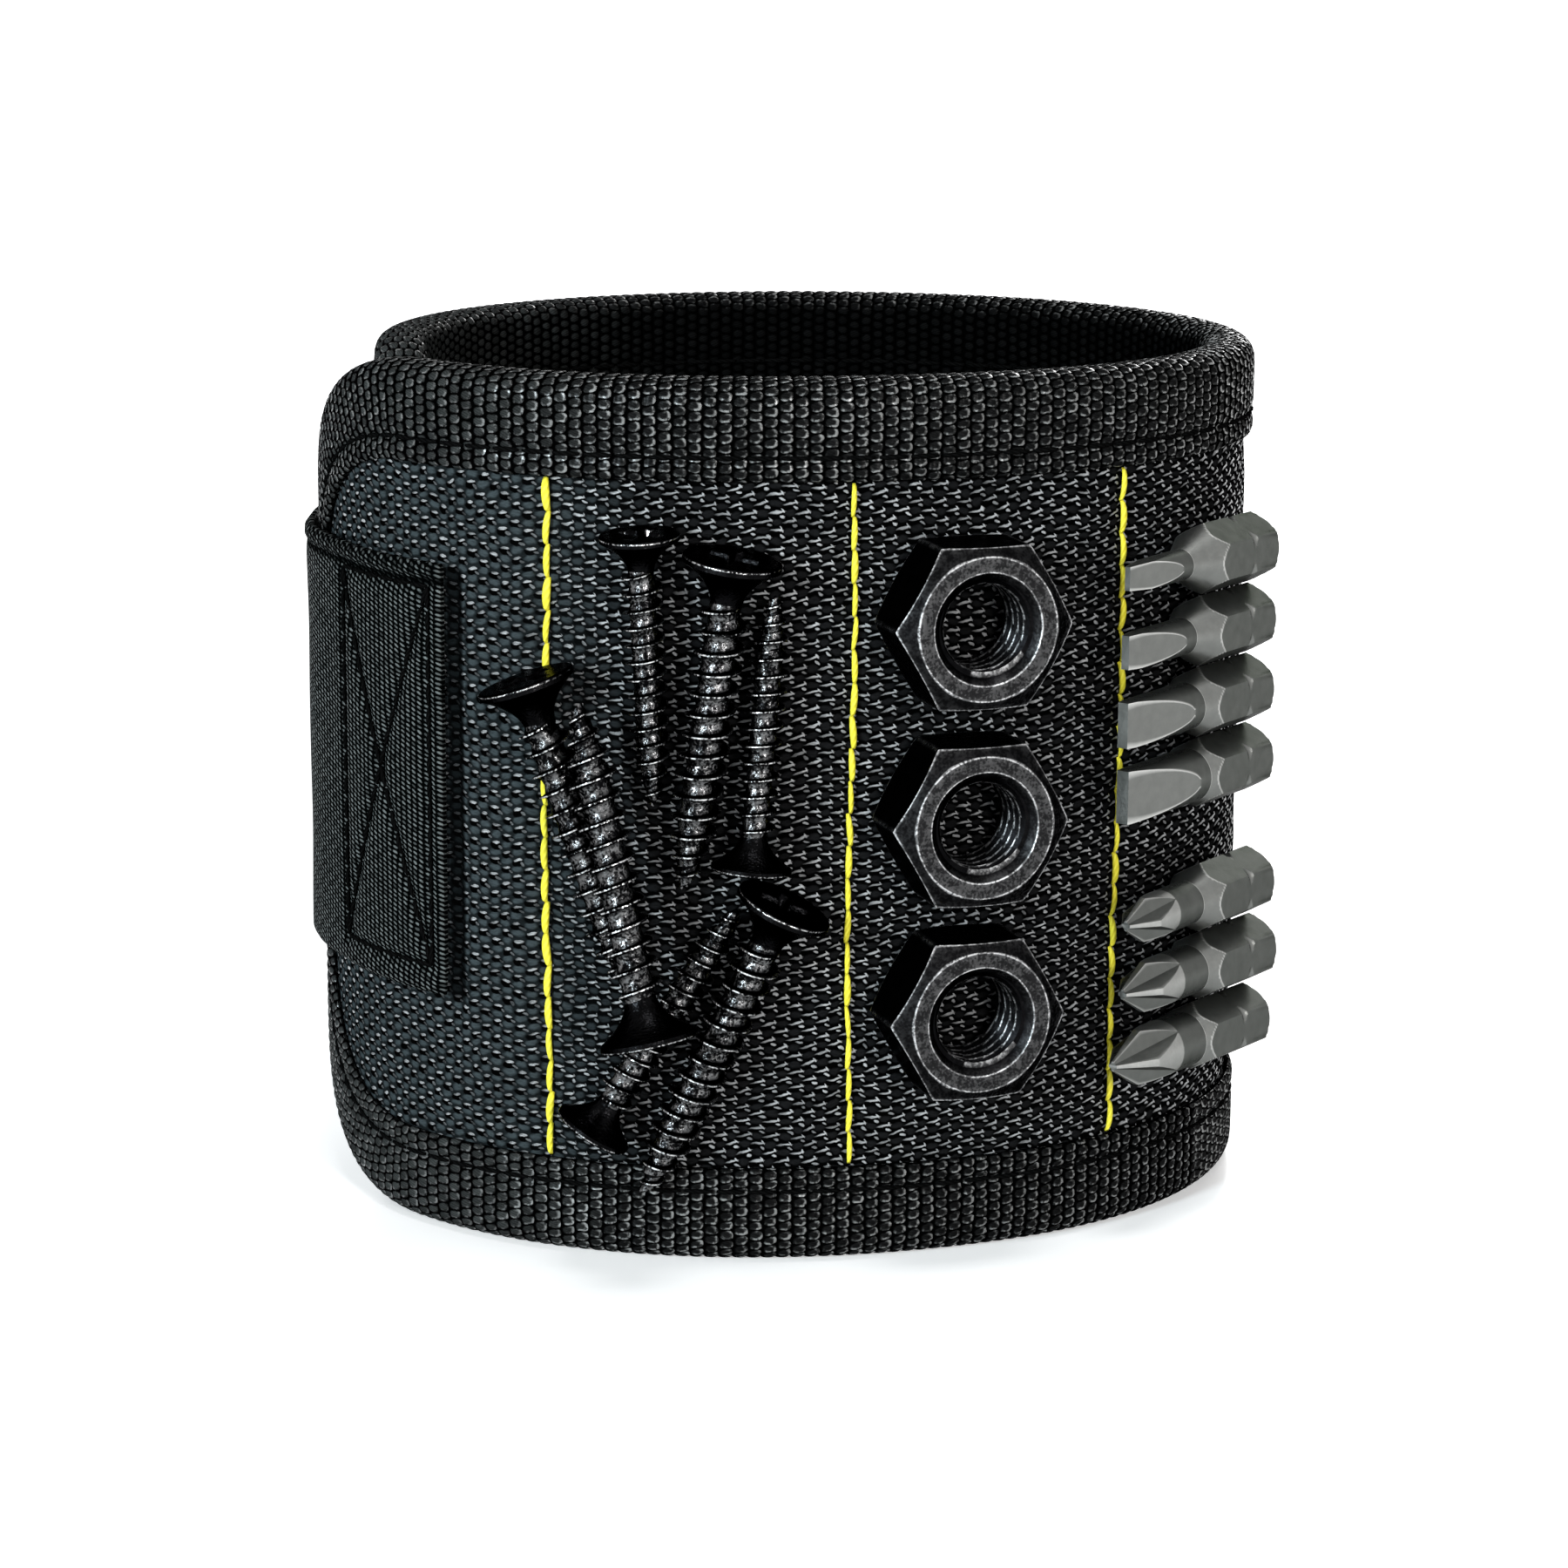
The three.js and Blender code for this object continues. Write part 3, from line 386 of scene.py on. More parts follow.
def smooth(value, low, high):
    """0 at low and 1 at high, and 3s^2 - 2s^3 of the share s of the way between them."""
    share = np.clip((value - low) / (high - low), 0, 1)
    return share * share * (3 - 2 * share)


def puckers(arc, height):
    """Small unevenness of sewn cloth: the sum of five slanting waves."""
    total = 0
    waves = (0.3, 7.1, 0.4), (1.1, 5.3, 2.1), (2.0, 8.9, 4.0), (2.7, 4.1, 5.2), (0.8, 12.7, 1.3)
    for turn, wave, shift in waves:
        along = arc * math.cos(turn) + height * math.sin(turn)
        total = total + np.sin(along * math.tau / wave + shift)
    return total / 5


def cloth_relief(arc, height):
    """How far the cloth stands above its flat face: a pillow over each panel, full within
    some 6 mm of a seam, a furrow along each seam that dips at every stitch, and one
    beside the strap's sewn edge."""
    edges = np.array([STRAP_EDGE, *SEAMS, SEAMS[3] + PANEL, SEAMS[3] + 2 * PANEL])
    panel = np.clip(np.searchsorted(edges, arc) - 1, 0, len(edges) - 2)
    share = (arc - edges[panel]) / (edges[panel + 1] - edges[panel])
    inside = (share > 0) & (share < 1)
    from_tape = np.minimum(height, BAND_HEIGHT - height) - TAPE_WIDTH
    rise = smooth(from_tape, -1.0, 9.0)
    pillow = np.where(inside, np.sin(np.pi * np.clip(share, 0, 1)) ** 0.55, 0) * CROWN * rise
    nearest = np.abs(arc[..., None] - SEAMS).min(-1)
    stitch = 1 + 0.35 * np.cos(2 * np.pi * (height - 10.5) / STITCH)
    deep = np.where(np.abs(arc - SEAMS[3]) < 5, 0.62, 0.3)
    furrow = np.exp(-((nearest / 1.3) ** 2)) * deep * stitch * (from_tape > -1)
    beside = np.exp(-(((arc - STRAP_EDGE - 0.8) / 0.8) ** 2)) * smooth(np.abs(height - 47), 25, 21)
    slant = (height + 2.2 * nearest) / (3 * STITCH)
    pinch = 0.10 * np.exp(-nearest / 5) * np.sin(2 * np.pi * slant)
    drawn_in = pinch + 0.10 * puckers(arc, height)
    return pillow - furrow - 0.5 * beside + drawn_in * smooth(from_tape, 0.5, 4)


def layer(half, outer, thickness, relief=None, fine=0.8):
    """One layer of the strip as a closed shell: its outer face stands at a distance from
    the middle line, plus the relief, and its inner face is flat."""
    arcs = half_arcs(half, COVER_INSET, fine)
    count = int(BAND_HEIGHT / fine)
    shares = np.concatenate([np.linspace(0, 1, count), np.linspace(1, 0, 12)])
    face = np.arange(len(shares)) < count
    low = low_edge(half, arcs, COVER_INSET)[:, None]
    heights = low + (BAND_HEIGHT - 2 * low) * shares
    arc = np.broadcast_to(arcs[:, None], heights.shape)
    lift = relief(arc, heights) if relief else 0
    points = strip(arc, heights, np.where(face, outer + lift, outer - thickness))
    return points, flat_shell(arc, heights)


def cut_size(half, out):
    """Width and length in metres of the flat cut of one layer of a half, from the length of
    its middle line at its distance out from the band's."""
    arcs = half_arcs(half, COVER_INSET, 0.8)
    return (BAND_HEIGHT - 2 * COVER_INSET) / 1000, run_along(strip(arcs, 0, out))[-1]


def plan_of(start):
    """The two directions of the flat cloth, in mm."""
    return start.node("ShaderNodeUVMap", {"uv_map": "plan"}, {}).parts(0, 1)


def unevenness(start, scale, detail=2.0):
    """Soft noise from 0 to 1 over the object, with so many lumps to the metre."""
    sockets = {"Vector": at_rest(start), "Scale": scale, "Detail": detail}
    return start.node("ShaderNodeTexNoise", {}, sockets)


def brick_cells(u, v, wide, tall):
    """Place inside the nearest cell of a brick pattern, from -0.5 to 0.5 each way, and one
    random number to each cell."""
    row = (v / tall).math("FLOOR")
    across = u / wide + (row * 0.5).math("FRACT")
    number = u.node("ShaderNodeCombineXYZ", {}, {0: across.math("FLOOR"), 1: row})
    chance = u.node("ShaderNodeTexWhiteNoise", {"noise_dimensions": "2D"}, {"Vector": number})
    return across.math("FRACT") - 0.5, (v / tall).math("FRACT") - 0.5, chance


def dome(place, half):
    """Round back of a yarn across its width: the height of a circle, 1 at its middle."""
    inside = 1 - (place / half) * (place / half)
    return inside.math("MAXIMUM", 0.0).math("SQRT")


def spot(across, up, half_across, half_up):
    """Square of the distance from the middle of an ellipse, 1 on its outline."""
    across, up = across / half_across, up / half_up
    return across * across + up * up


WEAVE_REPEAT, WEAVE_ROW = 2.5, 0.86
DEEP_BLACK = 0.0006


def woven_nylon(name):
    """Level floats in staggered rows, each a thin ellipse that rises a little to the right
    and meets a steep one there. Below that end the crossing yarn shows as a small spot.
    Floats and spots are painted bright as highlights on the black yarn; the ground between
    is nearly black. Round the flap, light from the left is painted in: the floats are short
    with a dip under each, painted dark as shade, and the ground between them is painted a
    lit grey. Beside the strap's sewn edge a shadow is painted dark."""
    material, start, shader = finish(
        name, Roughness=0.6, Specular_IOR_Level=0.0, Coat_Roughness=0.3
    )
    along, height = plan_of(start)
    u = along + unevenness(start, 200) * 1.5 + unevenness(start, 1250) * 0.5
    v = height + unevenness(start, 185) * 1.5 + unevenness(start, 1150) * 0.34

    def weave_cells(u, v):
        """Place inside the nearest cell of the weave, in mm, and that cell's number."""
        across, up, chance = brick_cells(u, v, WEAVE_REPEAT, WEAVE_ROW)
        return across * WEAVE_REPEAT, up * WEAVE_ROW, chance

    x, y, chance = weave_cells(u, v)
    side, foot, luck = weave_cells(u - 0.50, v + 0.38)
    # Share of light from the left painted into the cloth, full round the flap.
    painted_left_light = along.share(SEAMS[0] + 13, SEAMS[0] - 5)
    swell = x.share(-0.75, 0.6)
    rise = x * (0.18 - painted_left_light * 0.1)
    body = spot(x, y - 0.02 - rise, 0.82 - painted_left_light * 0.34, 0.16 + painted_left_light * 0.02)
    fork = spot(x - 0.64 + y * 0.6, y - 0.20, 0.13, 0.26) + painted_left_light
    dash = body.math("MINIMUM", fork).share(1.0, 0.35)
    knob = spot(side, foot + side * 0.3, 0.30, 0.17).share(1.0, 0.35) * (1 - painted_left_light * 0.8)
    gap_x, gap_y, _ = weave_cells(u + WEAVE_REPEAT / 2, v + 0.05)
    under = spot(gap_x, gap_y, 0.62, 0.40).share(1.2, 0.15)
    # Dip under each float round the flap: a small dip in the relief, painted dark as shade.
    hollow_x, hollow_y, _ = weave_cells(u, v + 0.28)
    hollow_and_shade = spot(hollow_x, hollow_y, 0.60, 0.34).share(1.25, 0.75) * painted_left_light
    under = (under + (1 - under) * painted_left_light * 0.2) * (1 - hollow_and_shade)
    level = start.node("ShaderNodeCombineXYZ", {}, {0: u * 1.6, 1: v * 7.0})
    sockets = {"Vector": level, "Scale": 1.0, "Detail": 1.0}
    streak = start.node("ShaderNodeTexNoise", {"noise_dimensions": "2D"}, sockets)
    # Bright floats and spots: painted highlights, brighter still on the side painted as lit from
    # the left.
    lit = dash * (0.35 + swell * 0.8) * (0.5 + chance * 0.6) + knob * (0.3 + luck * 0.7)
    lit = lit * (0.4 + streak * 1.2) * (1 + painted_left_light * 0.25)
    # A shadow painted dark on the cloth beside the strap's sewn edge, within the strap's height.
    strap_shadow = spot(along - STRAP_EDGE - 0.5, 0.0, 1.3, 1.0).share(1.3, 0.3)
    beside = height.share(STRAP_LOW - 1, STRAP_LOW) * height.share(STRAP_HIGH, STRAP_HIGH - 1)
    out_of_strap_shadow = 1 - strap_shadow * beside * 0.9
    lit = lit * out_of_strap_shadow
    # Yarn colour: a painted lit teal grey round the flap, near black elsewhere.
    yarn = painted_left_light.tint((0.0085, 0.0086, 0.0091), (0.039, 0.049, 0.053))
    shade = (under * (0.4 + streak) * (1 - knob * 0.5) * out_of_strap_shadow).tint(DEEP_BLACK, yarn)
    raised = dash + knob * 0.5 + under * 0.4 - hollow_and_shade * 0.6 + streak * 0.1
    drive(
        shader,
        Base_Color=lit.tint(shade, (0.33, 0.335, 0.342)),
        Coat_Weight=lit * 0.9,
        Normal=raised.bump(0.0002),
    )
    return material


cover_cloth = woven_nylon("ballistic_nylon")
for half, replaced in {"flap": ["front_cover", "side_cover"], "tail": ["back_cover"]}.items():
    shell = layer(half, COVER_FACE, COVER_THICKNESS, cloth_relief)
    cover = piece_of(f"{half}_cover", *shell, cover_cloth, "cover_fabric")
    over_fold(cover)
    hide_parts(*replaced)
    cut_size(half, COVER_FACE)

# ------------------------ padding and lining
# A sheet of soft grey foam fills the strip and holds the magnets. Their punched holes are
# left out, because no one sees them. A thin ribbed knit lines the side on the wrist.
PADDING_FACE, PADDING_THICKNESS = 0.9, 2.1
LINING_FACE, LINING_THICKNESS = -2.05, 0.6

foam, start, shader = finish("grey_foam", Roughness=0.9)
cells = unevenness(start, 2500, 1.0)
drive(
    shader,
    Base_Color=cells.tint((0.05, 0.05, 0.052), (0.11, 0.11, 0.115)),
    Normal=cells.bump(0.0002),
)
knit, start, shader = finish("ribbed_knit", Specular_IOR_Level=0.0)
u, v = plan_of(start)
x, y, chance = brick_cells(v, u, 0.9, 1.15)
rib = dome(y, 0.46) * (0.65 + dome(x, 0.5) * 0.35)
drive(
    shader,
    Base_Color=(rib * rib * (0.6 + chance * 0.5)).tint(
        (0.0022, 0.0022, 0.0026), (0.0058, 0.0059, 0.0068)
    ),
    Roughness=0.9 - rib * 0.2,
    Normal=rib.bump(0.0002),
)


def lining_relief(arc, height):
    """The lining's soft waves: puckers that die away under the tape."""
    from_edge = np.minimum(height, BAND_HEIGHT - height)
    return 0.08 * puckers(arc, height) * smooth(from_edge, TAPE_WIDTH, TAPE_WIDTH + 4)


for half, cores, linings in (
    ("flap", ["front_core", "side_core"], ["front_lining", "side_lining"]),
    ("tail", ["back_core"], ["back_lining"]),
):
    sheet = layer(half, PADDING_FACE, PADDING_THICKNESS, None, 2.0)
    padding = piece_of(f"{half}_padding", *sheet, foam, "padding")
    over_fold(padding)
    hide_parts(*cores)
    sheet = layer(half, LINING_FACE, -LINING_THICKNESS, lining_relief, 1.2)
    lining = piece_of(f"{half}_lining", *sheet, knit, "lining_fabric")
    over_fold(lining)
    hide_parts(*linings)
    cut_size(half, LINING_FACE)

# ------------------------ binding
# Woven tape folded over the raw edges and sewn through both sides near its own edges. It
# is woven in upright ribs, each a row of small round knuckles, which scallop the rim.
TAPE_FACE = 2.9
RIB, KNUCKLE = 1.42, 1.02
TAPE_STITCH, TAPE_PITCH, BLACK_THREAD = 7.6, 3.1, 0.00026


def rim_path(half):
    """Places round a half's edges from the split along the bottom, round its free end and
    back along the top: arc, height, and the direction inwards. The corners are circles."""
    free, corner = HALVES[half]["free"], HALVES[half]["corner"]
    way = np.sign(SPLIT - free)
    straight = np.linspace(SPLIT, free + way * corner, 400)
    turn = np.linspace(0, math.pi / 2, 200)[1:]
    inward = np.concatenate([
        np.stack([0 * straight, 1 + 0 * straight], -1),
        np.stack([way * np.sin(turn), np.cos(turn)], -1),
    ])
    arc = np.append(straight, free + way * corner - way * np.sin(turn) * corner)
    height = np.append(0 * straight, corner - np.cos(turn) * corner)
    arc, height = np.append(arc, arc[::-1]), np.append(height, BAND_HEIGHT - height[::-1])
    inward = np.concatenate([inward, inward[::-1] * (1, -1)])
    return run_along(np.stack([arc, height], -1)), arc, height, inward


def rim_places(half, count):
    """The rim path at so many even steps, its length given as a whole number of ribs."""
    run, arc, height, inward = rim_path(half)
    ribs = round(run[-1] / RIB / 2) * 2
    even = np.linspace(0, run[-1], count(ribs))
    inward = unit(np.stack([np.interp(even, run, part) for part in inward.T], -1))
    arc, height = (np.interp(even, run, place) for place in (arc, height))
    return even / run[-1] * ribs * RIB, arc, height, inward


def tape_section():
    """Half round fold of the tape: a superellipse over the rim, then flat sides with a
    furrow where the stitches sink in, and back along the inside of the fold."""
    turn = np.linspace(0, math.pi / 2, 7)
    fold = np.stack([2.7 * (1 - np.cos(turn) ** 0.8), TAPE_FACE * np.sin(turn) ** 0.8], -1)
    sides = np.array([4, 5.4, 6.6, 7.1, TAPE_STITCH, 8.1, 8.6, 9.3, 9.8, TAPE_WIDTH])
    furrow = 0.32 * np.exp(-(((sides - TAPE_STITCH) / 0.55) ** 2))
    out = TAPE_FACE - furrow - 0.5 * smooth(sides, 9.6, 10.1)
    half = np.concatenate([fold, np.stack([sides, out], -1)])
    inside = np.array([[TAPE_WIDTH, 2.2], [5, 2.2], [0.7, 2.1], [0.7, 0.7]])
    outer = np.concatenate([half[::-1], (half * (1, -1))[1:]])
    return outer, np.concatenate([inside * (1, -1), inside[::-1]])


def along_rim(places, inward, out):
    """Points at distances inwards from the rim and out from the middle of the strip."""
    _, arc, height, way = places
    arc, height = arc[:, None] + way[:, :1] * inward, height[:, None] + way[:, 1:] * inward
    return strip(arc, height, out)


def knuckled_tape(name):
    """Upright ribs of round knuckles, each half a step from its neighbours'. A knuckle is
    dull on its back and has a painted highlight round its rim, where x^2.8 + y^2.8 is near 1,
    most at its right and its foot; x and y point right and up on the upper and the lower tape
    alike, so the painted highlight falls the same way on both. Round the flap the tape is
    painted a lit grey, as by light from the left, and inside the band the highlight is left
    out and the knuckles are painted darker as shade."""
    material, start, shader = finish(
        name, Roughness=0.55, Specular_IOR_Level=0.0, Coat_Roughness=0.25
    )
    u, across = plan_of(start)
    v = across + unevenness(start, 160) * 0.45 + unevenness(start, 900) * 0.4
    y, x, chance = brick_cells(v, u + unevenness(start, 700) * 0.35, KNUCKLE, RIB)
    aside, up = at_rest(start).parts(0, 2)
    # Flipped on the lower tape so that the painted highlight falls at the right and the foot on
    # both.
    sign = up.math("GREATER_THAN", BAND_HEIGHT / 2000) * 2 - 1
    x, y = x * sign, y * sign
    back = (1 - spot(x, y, 0.45, 0.43)).share(0.0, 0.6)
    height = dome(x, 0.49) * (0.3 + dome(y, 0.5) * 0.7)
    wide, tall = spot(x, 0.0, 0.38, 1.0), spot(0.0, y, 1.0, 0.38)
    ring = wide.math("POWER", 1.4) + tall.math("POWER", 1.4)
    rim = (1 - (ring - 1).math("ABSOLUTE")).share(0.1, 0.8)
    rim = rim * (0.45 + x * 1.2 - y * 0.8).share(0.05, 0.85)
    thread = ((v + u * 0.35) / 0.26).wave()
    # Inside the band the painted highlight is left out and the knuckles are painted darker as
    # shade.
    outside = across.share(16.0, 12.5)
    glints = 0.15 + unevenness(start, 1900).share(0.42, 0.62) * 2.0
    shine = rim * (0.35 + chance * 0.6) * glints * outside
    # Share of light from the left painted into the tape round the flap.
    painted_left_light = aside.share(-0.014, -0.034)
    dull = painted_left_light.tint((0.0062, 0.0062, 0.0063), (0.036, 0.0385, 0.0378))
    knob = back * (0.5 + chance * 0.55) * (0.6 + thread * 0.5) * (0.6 + outside * 0.4)
    shade = knob.tint(DEEP_BLACK, dull)
    drive(
        shader,
        Base_Color=(shine * (1 - painted_left_light * 0.75)).tint(shade, (0.2, 0.203, 0.2)),
        Coat_Weight=(shine * 0.8 + back * outside * 0.04) * (0.6 + thread * 0.4),
        Normal=(height + thread * 0.06).bump(0.00042),
    )
    return material


def strands(points, facing, radius, sides=8, flatness=0.75):
    """Round threads along many short paths (threads, places, 3): at each place a ring
    stands square to the path, wide across it and flatter towards facing."""
    along = unit(np.gradient(points, axis=1))
    across = unit(np.cross(along, facing))
    lift = np.cross(across, along)
    turn = np.linspace(0, 2 * math.pi, sides, endpoint=False)[:, None]
    ring = across[:, :, None] * np.cos(turn) + lift[:, :, None] * np.sin(turn) * flatness
    skin = points[:, :, None] + ring * np.asarray(radius)[..., None, None]
    run = run_along(points).mean(0) * 1000
    plan = flat_grid(run, np.linspace(0, 1, sides + 1))
    return skin, np.broadcast_to(plan, (len(points), *plan.shape))


def plied_thread(name, deep, lit, twist, gloss):
    """Sewing thread of three plies: slanting furrows that run round it as it goes, painted in the
    deeper colour as shade, with blotches of random tone.
    """
    material, start, shader = finish(name, Specular_IOR_Level=gloss)
    u, v = plan_of(start)
    ply = (u / twist + v * 3.0).wave()
    blotch = unevenness(start, 260)
    drive(
        shader,
        Base_Color=(ply * 0.6 + blotch * 0.5).tint(deep, lit),
        Roughness=0.75 - ply * 0.25,
        Normal=ply.bump(0.00005),
    )
    return material


binding_tape = knuckled_tape("binding_tape")
black_thread = plied_thread("black_thread", DEEP_BLACK, 0.004, 0.8, 0.0)
outer, inner = tape_section()
section = np.concatenate([outer, inner])
slope = unit(np.gradient(outer, axis=0))
outward = np.stack([slope[:, 1], -slope[:, 0]], -1)
if outward[len(outer) // 2, 0] > 0:
    outward = -outward
for half, replaced in {
    "flap": ["front_binding", "side_binding_bottom", "side_binding_top"],
    "tail": ["back_binding"],
}.items():
    places = rim_places(half, lambda ribs: ribs * 5 + 1)
    bulge = 0.15 * np.abs(np.sin(np.pi * places[0] / RIB)) ** 0.6 - 0.1
    shape = np.broadcast_to(section, (len(bulge), *section.shape)).copy()
    shape[:, : len(outer)] += bulge[:, None, None] * outward
    run = run_along(section)
    plan = flat_grid(places[0], np.append(run, run[-1] + 1))
    points = along_rim(places, shape[..., 0], shape[..., 1])
    tape = piece_of(f"{half}_binding", points, plan, binding_tape, "binding_tape")
    over_fold(tape)
    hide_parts(*replaced)

    count = int(places[0][-1] / TAPE_PITCH)
    fine = rim_places(half, lambda ribs: count * 8 + 1)
    step = np.arange(8)
    pick = np.arange(count)[:, None] * 8 + step
    swell = BLACK_THREAD * np.sin(np.pi * (step + 0.6) / 8.2) ** 0.4
    lift = 0.00012 * np.sin(np.pi * (step + 0.5) / 8)[:, None]
    for side, word in ((1, "outer"), (-1, "inner")):
        line, above = (
            along_rim(fine, np.array([[TAPE_STITCH]]), side * (TAPE_FACE + out))[:, 0][pick]
            for out in (-0.24, 1)
        )
        facing = unit(above - line)
        stitches = strands(line + facing * lift, facing, swell, 6)
        name = f"{half}_binding_stitches_{word}"
        over_fold(piece_of(name, *stitches, black_thread, "binding_tape"))

# ------------------------ yellow seams
# Thick yellow thread sewn down through the band between the panels in 3.3 mm stitches. Each
# is fat in its middle and pulled thin where it goes down through the cloth.
SEAM_FOOT, SEAM_HEAD = 10.2, 79.8
FOLD_SIDE = (0.3, 1.4)

yellow_thread = plied_thread("yellow_thread", (0.72, 0.60, 0.02), (0.93, 0.86, 0.07), 0.9, 0.3)
count = round((SEAM_HEAD - SEAM_FOOT) / STITCH)
pitch = (SEAM_HEAD - SEAM_FOOT) / count
rng = np.random.default_rng(7)
for seam, (arc, body, stout, sunk) in enumerate((
    (SEAMS[0], "band_front", 0.92, 0.1),
    (SEAMS[1], "band_front", 0.70, 0.1),
    (SEAMS[2] - FOLD_SIDE[0], "band_front", 0.78, 0.1),
    (SEAMS[3] + FOLD_SIDE[1], "band_back", 0.78, 1.0),
)):
    share = np.linspace(0, 1, 13)
    foot = SEAM_FOOT + np.arange(count)[:, None] * pitch
    height = foot + (0.01 + 0.98 * share) * pitch
    lean = rng.uniform(-0.16, 0.16, (count, 1))
    sway = 0.22 * np.sin(foot / 9 + seam) + lean * (share - 0.5) * 2
    arch = np.sin(np.pi * share) ** 0.5
    out = COVER_FACE - sunk + 0.42 * arch
    line = strip(arc + sway, height, out)
    facing = unit(strip(arc + sway, height, out + 1) - line)
    swell = 0.00027 + 0.00018 * np.sin(np.pi * share) ** 0.7
    girth = stout * rng.uniform(0.82, 1.15, (count, 1)) * swell
    stitches = strands(line, facing, girth, 8)
    sewn = piece_of(f"yellow_seam_{seam + 1}", *stitches, yellow_thread, "yellow_thread")
    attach(sewn, body)
    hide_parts(f"seam_thread_{seam + 1}")

# ------------------------ strap
# Flat webbing in fine ribs, sewn on the flap with a box and a cross of black thread. It
# runs round the left side and down to the back, where its hook patch grips.
STRAP_THICKNESS = 1.1
ANCHOR_SEAT, STRAP_SEAT, TAIL_SEAT = 2.3, 3.15, 4.34
FREE = HALVES["flap"]["free"]
STRAP_END, STRAP_DROP, HEM = 197, 22, 2.0
STRAP_STITCH = 2.4


def strap_line():
    """The strap's inner face from its sewn edge over the flap's end and down to its free
    end, as evenly spaced level places with their outward directions."""
    first = np.linspace(STRAP_EDGE - 0.5, FREE - 1.5, 200)
    climb = 1 - smooth(first, FREE + TAPE_WIDTH, FREE + 2 * TAPE_WIDTH)
    over = np.interp(FREE - 1.5, ARCS, ANGLES) + 360
    second = np.linspace(arc_at(over), arc_at(STRAP_END), 300)[1:]
    drop = smooth(second, arc_at(over - STRAP_DROP), arc_at(over))
    arc = np.append(first, second)
    seat = np.append(
        ANCHOR_SEAT + (STRAP_SEAT - ANCHOR_SEAT) * climb,
        TAIL_SEAT + (STRAP_SEAT + FLAP_STEP - TAIL_SEAT) * drop,
    )
    place = strip(arc, 0, seat)[:, :2] * 1000
    run = run_along(place)
    even = np.linspace(0, run[-1], int(run[-1] / 0.6))
    place = np.stack([np.interp(even, run, part) for part in place.T], -1)
    along = unit(np.gradient(place, axis=0))
    return even, place, np.stack([-along[:, 1], along[:, 0]], -1)


def to_segment(x, y, a, b):
    """Distance from places to a straight line between two corners."""
    step = np.subtract(b, a)
    share = np.clip(((x - a[0]) * step[0] + (y - a[1]) * step[1]) / (step @ step), 0, 1)
    return np.hypot(x - a[0] - share * step[0], y - a[1] - share * step[1])


run, place, outward = strap_line()
if outward[0, 1] > 0:
    outward = -outward
(left, low), (far, high) = (1.5, STRAP_LOW + 3), (16.6, STRAP_HIGH - 2.4)
BOX = (left, low), (far, low), (far, high), (left, high)
SEWN = [(BOX[a], BOX[b]) for a, b in ((0, 1), (1, 2), (2, 3), (3, 0), (0, 2), (3, 1))]


def on_strap(along, height, out):
    """Point of the strap in metres: so far along it, so high, so far out of its inner face."""
    along, height, out = np.broadcast_arrays(along, height, out)
    x, y, out_x, out_y = (np.interp(along, run, part) for part in (*place.T, *outward.T))
    return np.stack([x + out * out_x, y + out * out_y, height], -1) / 1000


face = np.linspace(STRAP_LOW + 0.5, STRAP_HIGH - 0.5, 70)
under = face[::-6]
heights = np.concatenate([[STRAP_LOW], face, [STRAP_HIGH], [STRAP_HIGH], under, [STRAP_LOW]])
outs = np.concatenate([[0.72], 0 * face + STRAP_THICKNESS, [0.72, 0.3], 0 * under + 0.02, [0.3]])
along = np.broadcast_to(run[:, None], (len(run), len(heights)))
height = np.broadcast_to(heights, along.shape)
furrow = sum(np.exp(-((to_segment(along, height, *ends) / 0.7) ** 2)) for ends in SEWN)
top = (outs > 1).astype(float)
ends = smooth(run, 0, 1.0)[:, None] * smooth(run[-1] - run, -0.01, 0.8)[:, None]
ripple = 0.10 * np.sin(along / 2.3 + height / 9) * np.sin(height / 5.1) * smooth(along, 16, 22)
out = np.where(top > 0, 0.45 + (STRAP_THICKNESS - 0.45) * np.sqrt(np.clip(ends, 0, 1)), outs)
hem = STRAP_HIGH - height
rolled = 0.16 * np.exp(-(((hem - 0.9) / 0.55) ** 2)) - 0.22 * np.exp(-(((hem - HEM) / 0.4) ** 2))
out = out - top * (0.42 * np.minimum(furrow, 1) - (ripple + rolled) * ends)
WEB_RIB, WEB_PICK = 0.8, 0.5

webbing, start, shader = finish(
    "strap_webbing", Roughness=0.6, Specular_IOR_Level=0.0, Coat_Roughness=0.35
)
u, up = plan_of(start)
u = u + unevenness(start, 300) * 0.3
v = up + unevenness(start, 240) * 0.6 + unevenness(start, 1500) * 0.16
y, x, chance = brick_cells(v, u, WEB_PICK, WEB_RIB)
x, y = x * WEB_RIB, y * WEB_PICK
third = (((u / WEB_RIB).math("FLOOR") + (v / WEB_PICK).math("FLOOR")) / 3.0).math("FRACT")
raised = spot(x, y - x * 0.42, 0.33, 0.165).share(1.1, 0.3)
# Bright slanting beads: light painted on the black webbing, in the cool tint of the left lamp.
lit = raised * (0.25 + chance * 0.55 + third.share(0.5, 0.2) * 0.45)
from_hem, knot = up - (STRAP_HIGH - HEM), (u / 1.3).wave()
lit = lit * (1 - from_hem.share(-0.1, 0.1) * (1 - knot) * 0.8)
lit = lit * (0.1 + spot(from_hem, 0.0, 0.35, 1.0).share(0.3, 1.2) * 0.9)
drive(
    shader,
    Base_Color=lit.tint((0.0006, 0.0008, 0.0008), (0.105, 0.118, 0.116)),
    Coat_Weight=lit * 0.35,
    Normal=raised.bump(0.00016),
)
shape = on_strap(along, height, out), flat_shell(along, height)
strap = piece_of("strap", *shape, webbing, "strap_webbing")
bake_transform(strap)
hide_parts("strap_anchor", "strap_tail")

